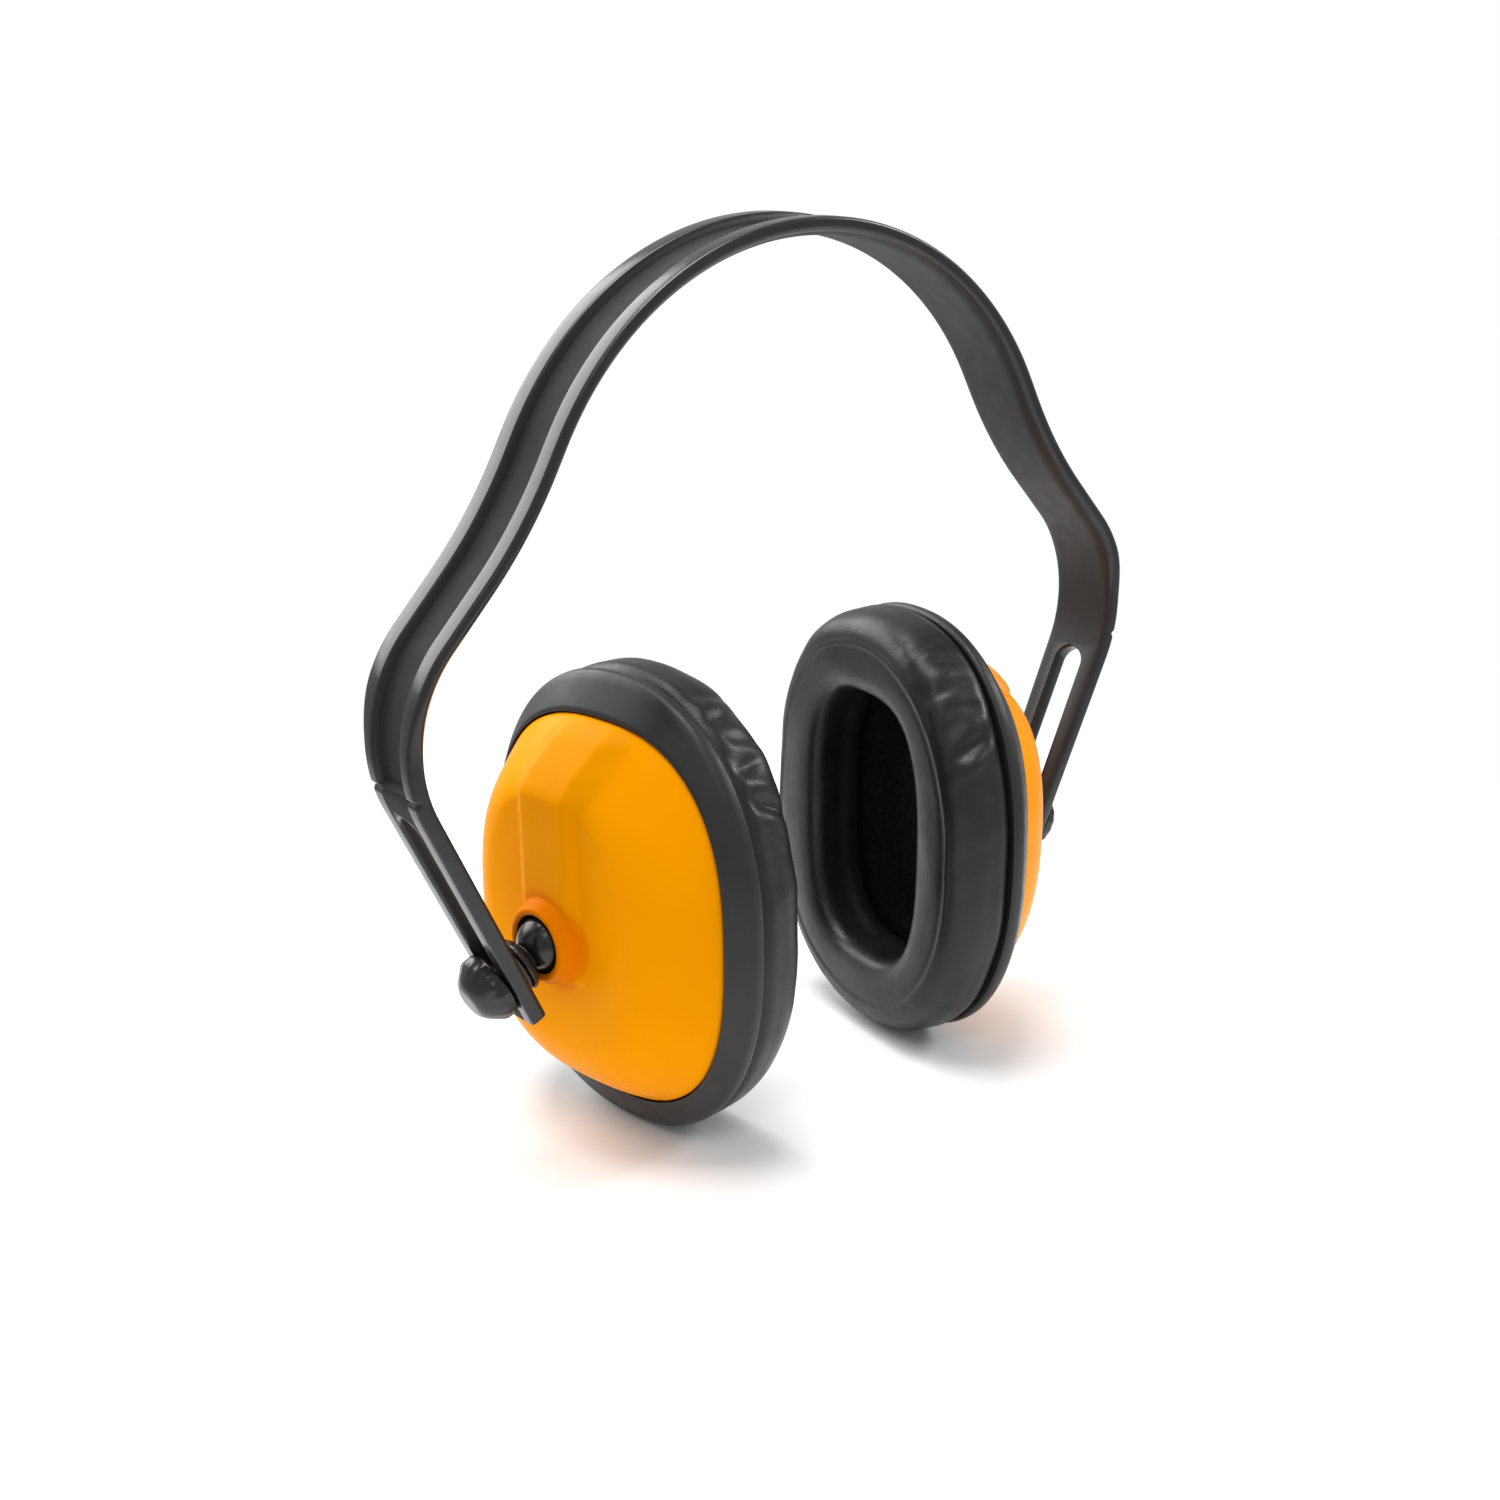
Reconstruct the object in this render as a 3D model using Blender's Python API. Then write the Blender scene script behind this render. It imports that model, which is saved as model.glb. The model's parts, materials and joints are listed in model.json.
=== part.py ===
"""Over-the-head hearing protection earmuffs: a springy plastic headband with slotted legs, and
two ear cups that hang on ball studs. +Z is up as worn, +X is the wearer's left-right axis and
-Y is the front. Lengths below are in millimetres and become metres when a mesh is made."""
import math

import bmesh
import bpy
from mathutils import Matrix, Vector

MM = 0.001
GAP = 0.3                     # clearance between neighbouring pieces

# Headband: outer line of one half, from the crown down to the tip of the leg
CROWN_Z = 199.9               # top of the crown above the lowest point of the cups
CROWN_RADIUS = 74.5
CROWN_TURN = 61.0             # degrees turned by the crown arc on each side
CROWN_STRAIGHT = 5.8
WAIST_RADIUS = 105.0          # shallow reverse bend above the shoulder
WAIST_TURN = 14.5
WAIST_STRAIGHT = 13.5
SHOULDER_RADIUS = 34.0
LEG_ANGLE = 24.5              # lean of the straight leg from the vertical, degrees
LEG_LENGTH = 55.6
BAND_THICKNESS = 4.0
CROWN_WIDTH = 18.6
SHOULDER_WIDTH = 18.0
TIP_WIDTH = 16.4
FLANGE_WIDTH = 3.4            # raised edge on each side of the band's outer face
FLANGE_SPREAD = 1.5           # how much further each flange reaches above the shoulder
FLANGE_THICKNESS = 2.3        # at the flange's edge, above the shoulder
FLANGE_CHAMFER = 2.6          # slope under the flange, above the shoulder
SPREAD_FADE = (8.0, 24.0)     # distances before the channel's end where the flanges narrow
EDGE_SOFT = 0.6
CHANNEL_DEPTH = 2.2
CHANNEL_END = 62.0            # distance from the leg's tip where the channel stops
SLOT_WIDTH = 8.0
SLOT_LOW = 9.6                # centre of the slot's lower round end, from the leg's tip
SLOT_HIGH = 51.5              # centre of the slot's upper round end, from the leg's tip

# Ball stud, clamping knob and washer, turned about the stud's axis
STUD_UP_LEG = 10.0            # stud axis from the leg's tip
BALL_OFFSET = 10.2            # ball centre inside the leg's inner face
BALL_RADIUS = 6.3
NECK_RADIUS = 3.2
STUD_SHOULDER_RADIUS = 6.4   # rounded shoulder between the ball's neck and the leg
STUD_SHOULDER_HEIGHT = 2.9
SHANK_RADIUS = 3.5
SHANK_LENGTH = 4.8            # how far the shank stands out of the leg, inside the knob
KNOB_BORE_RADIUS = 3.8
KNOB_RADIUS = 7.8
KNOB_HEIGHT = 7.2
WASHER_RADIUS = 6.0
WASHER_THICKNESS = 0.9
BUSH_INNER_RADIUS = 6.6
BUSH_OUTER_RADIUS = 8.3
BUSH_BACK_ANGLE = 140.0       # where the bush ends behind the ball, from its open side
SEAT_RADIUS = 8.6             # spherical seat for the bush in the shell
SOCKET_WALL_RADIUS = 10.6

# Ear cup: depths are measured outward from the flat sealing face
CUP_Z = 54.1                  # height of the cup's centre
SEAL_TO_BALL = 41.8
TOE_ANGLE = 7.0               # both cups turn in towards the front
CUSHION_OUTLINE = (40.6, 54.3, 2.2)      # half width, half height, superellipse power
EAR_HOLE_OUTLINE = (21.0, 33.0, 2.9)
CUSHION_BACK = 16.2
COVER_WALL = 1.2
COLLAR_FRONT = 16.6
COLLAR_OUTLINE = (42.6, 54.3, 2.25)
COLLAR_OPENING = (30.0, 40.0, 2.6)
BORDER_DEPTH = 23.8
BORDER_OUTLINE = (36.8, 44.2, 2.6)       # where the collar ends and the shell shows
DOME_DEPTH = 39.5
DOME_SHAPE = [(0.0, 1.0), (0.12, 0.985), (0.45, 0.90), (0.8, 0.78), (0.95, 0.69), (1.0, 0.60)]
SHELL_WALL = 2.2
SKIRT_DEPTH = 19.2
RIB_HALF_WIDTH = 6.8
RIB_HALF_BASE = 11.5
RIB_BOTTOM = -11.3            # lower end of the rib, from the cup's centre
RIB_RISE = 2.2
RIB_BURIED = 1.5              # how far the rib's root lies inside the dome
# Down the rib's sloping top: (depth past the border, height above the cup's centre)
RIB_CREST = [(1.0, 44.0), (6.7, 41.6), (13.8, 36.0), (16.8, 32.8)]
RIB_ROOT = [(0.4, 41.0), (5.7, 37.6), (11.2, 32.0), (13.2, 28.0)]
RIB_FACE_TOP = 31.0
BOSS_BASE_RADIUS = 12.4
BOSS_RIM_RADIUS = 9.9
BOSS_TOP = 2.3                # socket rim beyond the ball's centre
LINER_FRONT = 19.6
LINER_BACK = 27.4
LINER_RECESS = 24.0
LINER_HOLLOW = (24.0, 34.0, 2.6)

OUTLINE_POINTS = 36
BAND_STEP = 4.6               # longest step along the band's curved line
TURN_POINTS = 18              # points round a turned piece

BAND_BLACK = ("band_black", (0.018, 0.018, 0.020), 0.28)
SHELL_ORANGE = ("shell_orange", (0.90, 0.33, 0.005), 0.25)
COLLAR_BLACK = ("collar_black", (0.022, 0.022, 0.024), 0.38)
VINYL_BLACK = ("vinyl_black", (0.020, 0.020, 0.022), 0.45)
FOAM_BLACK = ("foam_black", (0.010, 0.010, 0.012), 0.95)
INNER_GREY = ("inner_grey", (0.06, 0.06, 0.065), 0.5)


def clear_scene():
    for obj in list(bpy.data.objects):
        bpy.data.objects.remove(obj, do_unlink=True)


def material(finish):
    name, colour, roughness = finish
    mat = bpy.data.materials.get(name)
    if mat is None:
        mat = bpy.data.materials.new(name)
        mat.use_nodes = True
        shader = mat.node_tree.nodes["Principled BSDF"]
        shader.inputs["Base Color"].default_value = (*colour, 1.0)
        shader.inputs["Roughness"].default_value = roughness
        shader.inputs["Metallic"].default_value = 0.0
    return mat


def empty(name, matrix, parent=None):
    obj = bpy.data.objects.new(name, None)
    obj.empty_display_size = 0.01
    bpy.context.scene.collection.objects.link(obj)
    obj.parent = parent
    obj.matrix_world = matrix
    return obj


def add_object(name, bm, finish, parent=None, smooth_angle=35.0, cutter=False):
    """Make an object from a bmesh in millimetres, in its parent's axes."""
    bmesh.ops.scale(bm, vec=(MM, MM, MM), verts=bm.verts)
    bmesh.ops.recalc_face_normals(bm, faces=bm.faces)
    mesh = bpy.data.meshes.new(name)
    bm.to_mesh(mesh)
    bm.free()
    obj = bpy.data.objects.new(name, mesh)
    bpy.context.scene.collection.objects.link(obj)
    obj.parent = parent
    if cutter:
        obj.hide_render = True
        obj.display_type = "WIRE"
    else:
        mesh.materials.append(material(finish))
        mesh.shade_smooth()
        mesh.set_sharp_from_angle(angle=math.radians(smooth_angle))
    return obj


def boolean(obj, cutter, operation):
    mod = obj.modifiers.new(operation.lower() + "_" + cutter.name, "BOOLEAN")
    mod.object = cutter
    mod.operation = operation
    mod.solver = "EXACT"


# ---- outlines and lofted rings ----

def superellipse(half_width, half_height, power, count=OUTLINE_POINTS):
    points = []
    for i in range(count):
        angle = 2.0 * math.pi * (i + 0.5) / count
        c, s = math.cos(angle), math.sin(angle)
        points.append((math.copysign(abs(c) ** (2.0 / power), c) * half_width,
                       math.copysign(abs(s) ** (2.0 / power), s) * half_height))
    return points


def blend_outline(a, b, t):
    return tuple(p + (q - p) * t for p, q in zip(a, b))


def grow(outline, amount):
    return (outline[0] + amount, outline[1] + amount, outline[2])


def outline_loop(bm, depth, outline, side):
    """One closed loop round the cup's centre line, at a depth from the sealing face."""
    x = side * (depth - SEAL_TO_BALL)
    lift = CUP_Z - ball_centre()[1]
    return [bm.verts.new((x, y, z + lift)) for y, z in superellipse(*outline)]


def bridge(bm, loop_a, loop_b):
    count = len(loop_a)
    for i in range(count):
        j = (i + 1) % count
        bm.faces.new((loop_a[i], loop_a[j], loop_b[j], loop_b[i]))


def loft_ring(sections, side):
    """Ring-shaped solid: closed chain of (depth, outline) sections."""
    bm = bmesh.new()
    loops = [outline_loop(bm, depth, outline, side) for depth, outline in sections]
    for i, loop in enumerate(loops):
        bridge(bm, loop, loops[(i + 1) % len(loops)])
    return bm


def loft_solid(sections, side):
    """Solid with flat ends: open chain of (depth, outline) sections."""
    bm = bmesh.new()
    loops = [outline_loop(bm, depth, outline, side) for depth, outline in sections]
    for a, b in zip(loops, loops[1:]):
        bridge(bm, a, b)
    bm.faces.new(loops[0])
    bm.faces.new(loops[-1])
    return bm


def turned(profile, closed=False, count=TURN_POINTS):
    """Turn (distance along +X, radius) points about X; a closed chain makes a ring."""
    bm = bmesh.new()
    loops = []
    for x, radius in profile:
        if radius < 1e-6:
            loops.append([bm.verts.new((x, 0.0, 0.0))])
            continue
        angles = [2.0 * math.pi * i / count for i in range(count)]
        loops.append([bm.verts.new((x, radius * math.cos(a), radius * math.sin(a))) for a in angles])
    pairs = list(zip(loops, loops[1:]))
    if closed:
        pairs.append((loops[-1], loops[0]))
    for a, b in pairs:
        if len(a) == 1 or len(b) == 1:
            tip, rim = (a[0], b) if len(a) == 1 else (b[0], a)
            for i in range(count):
                bm.faces.new((tip, rim[i], rim[(i + 1) % count]))
        else:
            bridge(bm, a, b)
    return bm


def ball_profile(radius, start, end, count):
    """Points of an arc about the origin between two angles from +X, in degrees."""
    step = (end - start) / count
    angles = [math.radians(start + step * i) for i in range(count + 1)]
    return [(radius * math.cos(a), radius * math.sin(a)) for a in angles]


# ---- headband ----

def band_line():
    """Stations along one half of the band: x, z, tangent angle below horizontal, distance."""
    segments = [("arc", CROWN_RADIUS, CROWN_TURN), ("line", CROWN_STRAIGHT, 0.0),
                ("arc", WAIST_RADIUS, -WAIST_TURN), ("line", WAIST_STRAIGHT, 0.0),
                ("arc", SHOULDER_RADIUS, 90.0 + LEG_ANGLE - CROWN_TURN + WAIST_TURN),
                ("line", LEG_LENGTH, 0.0)]
    x, z, angle, run = 0.0, CROWN_Z, 0.0, 0.0
    stations = [(x, z, angle, run)]
    for kind, size, turn in segments:
        length = size if kind == "line" else size * math.radians(abs(turn))
        steps = max(1, math.ceil(length / BAND_STEP))
        for _ in range(steps):
            step_turn = math.radians(turn) / steps
            chord = length / steps
            if kind == "arc":
                chord = 2.0 * size * math.sin(abs(step_turn) / 2.0)
            middle = angle + step_turn / 2.0
            x += chord * math.cos(middle)
            z -= chord * math.sin(middle)
            angle += step_turn
            run += length / steps
            stations.append((x, z, angle, run))
    return stations


def band_length():
    return band_line()[-1][3]


def leg_frame():
    """Tip of the leg on its outer face, the direction up the leg, and the outward normal."""
    x, z, _, _ = band_line()[-1]
    lean = math.radians(LEG_ANGLE)
    up = (math.sin(lean), math.cos(lean))
    out = (math.cos(lean), -math.sin(lean))
    return (x, z), up, out


def ball_centre():
    (x, z), up, out = leg_frame()
    inward = BAND_THICKNESS + BALL_OFFSET
    return (x + up[0] * STUD_UP_LEG - out[0] * inward, z + up[1] * STUD_UP_LEG - out[1] * inward)


def band_y():
    """The band stands forward of the cups' middle because the cups toe in about the studs."""
    return -(SEAL_TO_BALL - COLLAR_FRONT - 1.6) * math.sin(math.radians(TOE_ANGLE))


def band_width(run):
    leg_start = band_length() - LEG_LENGTH
    if run < leg_start:
        return CROWN_WIDTH + (SHOULDER_WIDTH - CROWN_WIDTH) * run / leg_start
    return SHOULDER_WIDTH + (TIP_WIDTH - SHOULDER_WIDTH) * (run - leg_start) / LEG_LENGTH


def band_section(run):
    """Across the band: (y, height below the outer line), clockwise."""
    before_end = band_length() - CHANNEL_END - run
    floor = CHANNEL_DEPTH if before_end > 0.0 else 0.02
    t = min(1.0, max(0.0, (before_end - SPREAD_FADE[0]) / (SPREAD_FADE[1] - SPREAD_FADE[0])))
    spread = t * t * (3.0 - 2.0 * t)
    flange = band_width(run) / 2.0 - FLANGE_WIDTH
    half = band_width(run) / 2.0 + FLANGE_SPREAD * spread
    edge = BAND_THICKNESS - EDGE_SOFT
    edge += (FLANGE_THICKNESS - edge) * spread
    slope = EDGE_SOFT + (FLANGE_CHAMFER - EDGE_SOFT) * spread
    return [(-half, EDGE_SOFT), (-half + EDGE_SOFT, 0.0), (-flange, 0.0), (-flange + 1.0, floor),
            (flange - 1.0, floor), (flange, 0.0), (half - EDGE_SOFT, 0.0), (half, EDGE_SOFT),
            (half, edge), (half - slope, BAND_THICKNESS),
            (-half + slope, BAND_THICKNESS), (-half, edge)]


def band_stations():
    """Band stations with the crown's parting gap and a short ramp where the channel ends."""
    stations = band_line()
    x, z, angle, run = stations[0]
    stations[0] = (x + GAP / 2.0, z, angle, run)
    step_run = band_length() - CHANNEL_END
    for i, (a, b) in enumerate(zip(stations, stations[1:])):
        if a[3] < step_run <= b[3]:
            ramp = []
            for run in (step_run - 0.6, step_run + 0.6):
                t = (run - a[3]) / (b[3] - a[3])
                ramp.append(tuple(p + (q - p) * t for p, q in zip(a, b)))
            return stations[:i + 1] + ramp + stations[i + 1:]
    return stations


def slot_cutter(side, name):
    """Round-ended bar through the leg, along the leg."""
    (tip_x, tip_z), up, out = leg_frame()
    radius = SLOT_WIDTH / 2.0
    arc_points = 8
    outline = []
    for centre, start in ((SLOT_HIGH, 0.0), (SLOT_LOW, math.pi)):
        for i in range(arc_points + 1):
            angle = start + math.pi * i / arc_points
            outline.append((radius * math.cos(angle), centre + radius * math.sin(angle)))
    bm = bmesh.new()
    loops = []
    for level in (BAND_THICKNESS, -2.0 * BAND_THICKNESS):
        loops.append([bm.verts.new((side * (tip_x + up[0] * along + out[0] * level),
                                    band_y() + across, tip_z + up[1] * along + out[1] * level))
                      for across, along in outline])
    bridge(bm, loops[0], loops[1])
    bm.faces.new(loops[0])
    bm.faces.new(loops[1])
    return add_object(name + "_slot_cutter", bm, None, cutter=True)


def headband_half(name, side):
    bm = bmesh.new()
    loops = []
    for x, z, angle, run in band_stations():
        inward = (-math.sin(angle), -math.cos(angle))
        loops.append([bm.verts.new((side * (x + inward[0] * drop), band_y() + y, z + inward[1] * drop))
                      for y, drop in band_section(run)])
    for a, b in zip(loops, loops[1:]):
        bridge(bm, a, b)
    bm.faces.new(loops[0])
    bm.faces.new(loops[-1])
    band = add_object(name, bm, BAND_BLACK)
    boolean(band, slot_cutter(side, name), "DIFFERENCE")
    return band


# ---- stud, knob and bush: +X of their empty points from the ball out through the leg ----

def ball_stud(name, parent):
    leg_inner = BALL_OFFSET
    leg_outer = BALL_OFFSET + BAND_THICKNESS
    top = leg_inner - WASHER_THICKNESS - 2.0 * GAP
    base = top - STUD_SHOULDER_HEIGHT
    neck_angle = math.degrees(math.asin(NECK_RADIUS / BALL_RADIUS))
    profile = ball_profile(BALL_RADIUS, 180.0, neck_angle, 8)
    profile[0] = (-BALL_RADIUS, 0.0)
    profile += [(base, NECK_RADIUS), (base + 0.4, NECK_RADIUS + 1.4),
                (base + 1.2, STUD_SHOULDER_RADIUS - 0.5), (base + 2.0, STUD_SHOULDER_RADIUS),
                (top, STUD_SHOULDER_RADIUS), (top, SHANK_RADIUS), (leg_outer + SHANK_LENGTH - 0.4, SHANK_RADIUS),
                (leg_outer + SHANK_LENGTH, SHANK_RADIUS - 0.4), (leg_outer + SHANK_LENGTH, 0.0)]
    return add_object(name, turned(profile), BAND_BLACK, parent)


def adjuster_knob(name, parent):
    base = BALL_OFFSET + BAND_THICKNESS + GAP
    bore_end = BALL_OFFSET + BAND_THICKNESS + SHANK_LENGTH + GAP
    top = base + KNOB_HEIGHT
    profile = [(base, KNOB_BORE_RADIUS), (base, KNOB_RADIUS - 0.6), (base + 0.5, KNOB_RADIUS),
               (base + 2.6, KNOB_RADIUS), (base + 3.4, KNOB_RADIUS - 0.5), (top - 1.0, 5.0),
               (top - 0.2, 3.6), (top, 0.0)]
    profile = [(bore_end, 0.0), (bore_end, KNOB_BORE_RADIUS)] + profile
    return add_object(name, turned(profile), BAND_BLACK, parent)


def friction_washer(name, parent):
    near = BALL_OFFSET - GAP - WASHER_THICKNESS
    far = BALL_OFFSET - GAP
    inner = SHANK_RADIUS + GAP
    profile = [(near, inner), (near, WASHER_RADIUS), (far, WASHER_RADIUS), (far, inner)]
    return add_object(name, turned(profile, closed=True), INNER_GREY, parent)


def ball_bush(name, side, parent):
    """Split-ball liner that snaps round the stud's ball; open towards the leg."""
    lip_angle = math.degrees(math.acos((BOSS_TOP + 0.1) / BUSH_INNER_RADIUS))
    outer_angle = math.degrees(math.acos((BOSS_TOP + 0.1) / BUSH_OUTER_RADIUS))
    profile = ball_profile(BUSH_INNER_RADIUS, BUSH_BACK_ANGLE, lip_angle, 5)
    profile += ball_profile(BUSH_OUTER_RADIUS, outer_angle, BUSH_BACK_ANGLE, 5)
    profile = [(side * x, radius) for x, radius in profile]
    return add_object(name, turned(profile, closed=True), COLLAR_BLACK, parent)


# ---- ear cup pieces: +X is outward on the right cup, mirrored on the left ----

def dome_sections(inset):
    """Shell sections from the skirt's edge to the flat outer face, set in by a wall thickness."""
    half_width, half_height, power = BORDER_OUTLINE
    start = SKIRT_DEPTH if inset == 0.0 else SKIRT_DEPTH - 2.0
    sections = [(start, grow(BORDER_OUTLINE, -inset))]
    for share, scale in DOME_SHAPE:
        depth = BORDER_DEPTH + (DOME_DEPTH - BORDER_DEPTH) * share - inset * share
        sections.append((depth, (half_width * scale - inset, half_height * scale - inset, power)))
    return sections


def shell_rib(side, name, parent):
    """Raised flat rib down the middle of the dome, from the border to just below the socket."""
    lift = CUP_Z - ball_centre()[1]
    face = DOME_DEPTH + RIB_RISE
    root = DOME_DEPTH - RIB_BURIED
    outer = [(BORDER_DEPTH + rise, z) for rise, z in RIB_CREST]
    outer += [(face, RIB_FACE_TOP), (face, RIB_BOTTOM + 1.2), (DOME_DEPTH - 0.6, RIB_BOTTOM)]
    inner = [(BORDER_DEPTH + rise, z) for rise, z in RIB_ROOT]
    inner += [(root, RIB_FACE_TOP - 5.0), (root, RIB_BOTTOM + 1.6), (root, RIB_BOTTOM + 0.4)]
    bm = bmesh.new()
    loops = []
    for (depth_o, z_o), (depth_i, z_i) in zip(outer, inner):
        x_o, x_i = side * (depth_o - SEAL_TO_BALL), side * (depth_i - SEAL_TO_BALL)
        loops.append([bm.verts.new((x_o, -RIB_HALF_WIDTH, z_o + lift)),
                      bm.verts.new((x_o, RIB_HALF_WIDTH, z_o + lift)),
                      bm.verts.new((x_i, RIB_HALF_BASE, z_i + lift)),
                      bm.verts.new((x_i, -RIB_HALF_BASE, z_i + lift))])
    for a, b in zip(loops, loops[1:]):
        bridge(bm, a, b)
    bm.faces.new(loops[0])
    bm.faces.new(loops[-1])
    return add_object(name + "_rib", bm, None, parent, cutter=True)


def cup_shell(name, side, parent):
    shell = add_object(name, loft_solid(dome_sections(0.0), side), SHELL_ORANGE, parent)
    boolean(shell, shell_rib(side, name, parent), "UNION")
    cavity = add_object(name + "_cavity", loft_solid(dome_sections(SHELL_WALL), side), None,
                        parent, cutter=True)
    boolean(shell, cavity, "DIFFERENCE")
    wall = ball_profile(SOCKET_WALL_RADIUS, 180.0, 115.0, 5)
    wall[0] = (-SOCKET_WALL_RADIUS, 0.0)
    wall += [(DOME_DEPTH - SEAL_TO_BALL - 0.6, BOSS_BASE_RADIUS), (BOSS_TOP - 0.7, BOSS_RIM_RADIUS + 0.8),
             (BOSS_TOP, BOSS_RIM_RADIUS), (BOSS_TOP, 0.0)]
    boss = add_object(name + "_boss", turned([(side * x, r) for x, r in wall]), None,
                      parent, cutter=True)
    boolean(shell, boss, "UNION")
    seat = ball_profile(SEAT_RADIUS, 180.0, 0.0, 12)
    seat[0] = (-SEAT_RADIUS, 0.0)
    seat[-1] = (SEAT_RADIUS, 0.0)
    seat_ball = add_object(name + "_seat", turned([(side * x, r) for x, r in seat]), None,
                           parent, cutter=True)
    boolean(shell, seat_ball, "DIFFERENCE")
    return shell


def collar_ring(name, side, parent):
    border = grow(BORDER_OUTLINE, GAP + 0.1)
    bevel_top = grow(BORDER_OUTLINE, 1.0)
    sections = [(COLLAR_FRONT, grow(COLLAR_OUTLINE, -0.5)), (COLLAR_FRONT + 0.8, COLLAR_OUTLINE),
                (COLLAR_FRONT + 2.4, grow(COLLAR_OUTLINE, -0.2)),
                (COLLAR_FRONT + 3.6, grow(COLLAR_OUTLINE, -1.2)),
                (BORDER_DEPTH, bevel_top), (BORDER_DEPTH + 0.3, grow(bevel_top, -0.4)),
                (BORDER_DEPTH + 0.3, border), (SKIRT_DEPTH - GAP, border),
                (SKIRT_DEPTH - GAP, COLLAR_OPENING), (COLLAR_FRONT, COLLAR_OPENING)]
    return add_object(name, loft_ring(sections, side), COLLAR_BLACK, parent)


def cushion_profile():
    """Cushion cover's outer line: (depth, distance in from the cushion's outer outline)."""
    width = CUSHION_OUTLINE[0] - EAR_HOLE_OUTLINE[0]
    return [(CUSHION_BACK, 1.4), (14.0, 0.3), (10.0, 0.0), (6.4, 0.6), (3.4, 2.2), (1.2, 4.8),
            (0.0, 8.0), (0.0, width - 4.0), (1.4, width - 1.4), (4.0, width - 0.1),
            (CUSHION_BACK, width)]


def offset_line(points, distance):
    """Shift an open line to its right-hand side by a distance."""
    shifted = []
    for i, (x, y) in enumerate(points):
        ax, ay = points[max(i - 1, 0)]
        bx, by = points[min(i + 1, len(points) - 1)]
        length = math.hypot(bx - ax, by - ay)
        shifted.append((x + (by - ay) / length * distance, y - (bx - ax) / length * distance))
    return shifted


def cushion_section(depth, inset):
    width = CUSHION_OUTLINE[0] - EAR_HOLE_OUTLINE[0]
    return depth, blend_outline(CUSHION_OUTLINE, EAR_HOLE_OUTLINE, inset / width)


def cushion_cover(name, side, parent):
    """Vinyl skin over the foam ring, open at the back where the plate sits."""
    outer = cushion_profile()
    inner = offset_line(outer, COVER_WALL)
    inner[0] = (CUSHION_BACK, inner[0][1])
    inner[-1] = (CUSHION_BACK, inner[-1][1])
    sections = [cushion_section(*point) for point in outer + inner[::-1]]
    return add_object(name, loft_ring(sections, side), VINYL_BLACK, parent)


def cushion_foam(name, side, parent):
    line = offset_line(cushion_profile(), COVER_WALL + GAP)
    back = CUSHION_BACK - 2.0
    line[0] = (back, line[0][1])
    line[-1] = (back, line[-1][1])
    sections = [cushion_section(*point) for point in line]
    return add_object(name, loft_ring(sections, side), FOAM_BLACK, parent)


def cushion_plate(name, side, parent):
    """Thin stiff ring that closes the cushion's back and clips into the collar."""
    width = CUSHION_OUTLINE[0] - EAR_HOLE_OUTLINE[0]
    front = CUSHION_BACK - 2.0 + GAP
    edge = 1.4 + COVER_WALL + 2.0 * GAP
    hole = width - COVER_WALL - 2.0 * GAP
    line = [(front, edge), (CUSHION_BACK, edge), (CUSHION_BACK, hole), (front, hole)]
    sections = [cushion_section(*point) for point in line]
    return add_object(name, loft_ring(sections, side), INNER_GREY, parent)


def foam_liner(name, side, parent):
    """Sound-absorbing foam dish in the shell, with a shallow hollow for the ear."""
    outline = grow(BORDER_OUTLINE, -SHELL_WALL - 0.6)
    sections = [(LINER_RECESS, grow(LINER_HOLLOW, -4.0)), (LINER_RECESS - 1.5, grow(LINER_HOLLOW, -1.0)),
                (LINER_FRONT, LINER_HOLLOW), (LINER_FRONT, outline),
                (LINER_BACK - 1.4, grow(outline, -1.2)), (LINER_BACK, grow(outline, -4.5))]
    return add_object(name, loft_solid(sections, side), FOAM_BLACK, parent)


def ear_side(label, side):
    ball_x, ball_z = ball_centre()
    centre = Matrix.Translation(Vector((side * ball_x, band_y(), ball_z)) * MM)
    _, _, out = leg_frame()
    leg_normal = Vector((side * out[0], 0.0, out[1]))
    stud_turn = Vector((1.0, 0.0, 0.0)).rotation_difference(leg_normal).to_matrix().to_4x4()
    stud_axis = empty(label + "_stud_axis", centre @ stud_turn)
    toe_turn = Matrix.Rotation(math.radians(-side * TOE_ANGLE), 4, "Z")
    cup_axis = empty(label + "_cup_axis", centre @ toe_turn)
    adjuster_knob(label + "_adjuster_knob", stud_axis)
    friction_washer(label + "_friction_washer", stud_axis)
    ball_stud(label + "_ball_stud", stud_axis)
    ball_bush(label + "_ball_bush", side, cup_axis)
    cup_shell(label + "_cup_shell", side, cup_axis)
    collar_ring(label + "_collar_ring", side, cup_axis)
    foam_liner(label + "_foam_liner", side, cup_axis)
    cushion_plate(label + "_cushion_plate", side, cup_axis)
    cushion_foam(label + "_cushion_foam", side, cup_axis)
    cushion_cover(label + "_cushion_cover", side, cup_axis)


def main():
    clear_scene()
    headband_half("headband_left", -1.0)
    headband_half("headband_right", 1.0)
    ear_side("left", -1.0)
    ear_side("right", 1.0)


main()
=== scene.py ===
"""The look of a pair of over-the-head hearing protection earmuffs: band, cups, cushions, finishes,
light and camera. Lengths are in millimetres and become metres when a mesh is made. Cup shapes are
worked out in the cup's own axes: depth outward from the flat sealing face, y across, z up."""
import json
import math

import bpy
import numpy as np
from mathutils import Matrix, Vector, noise


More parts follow.
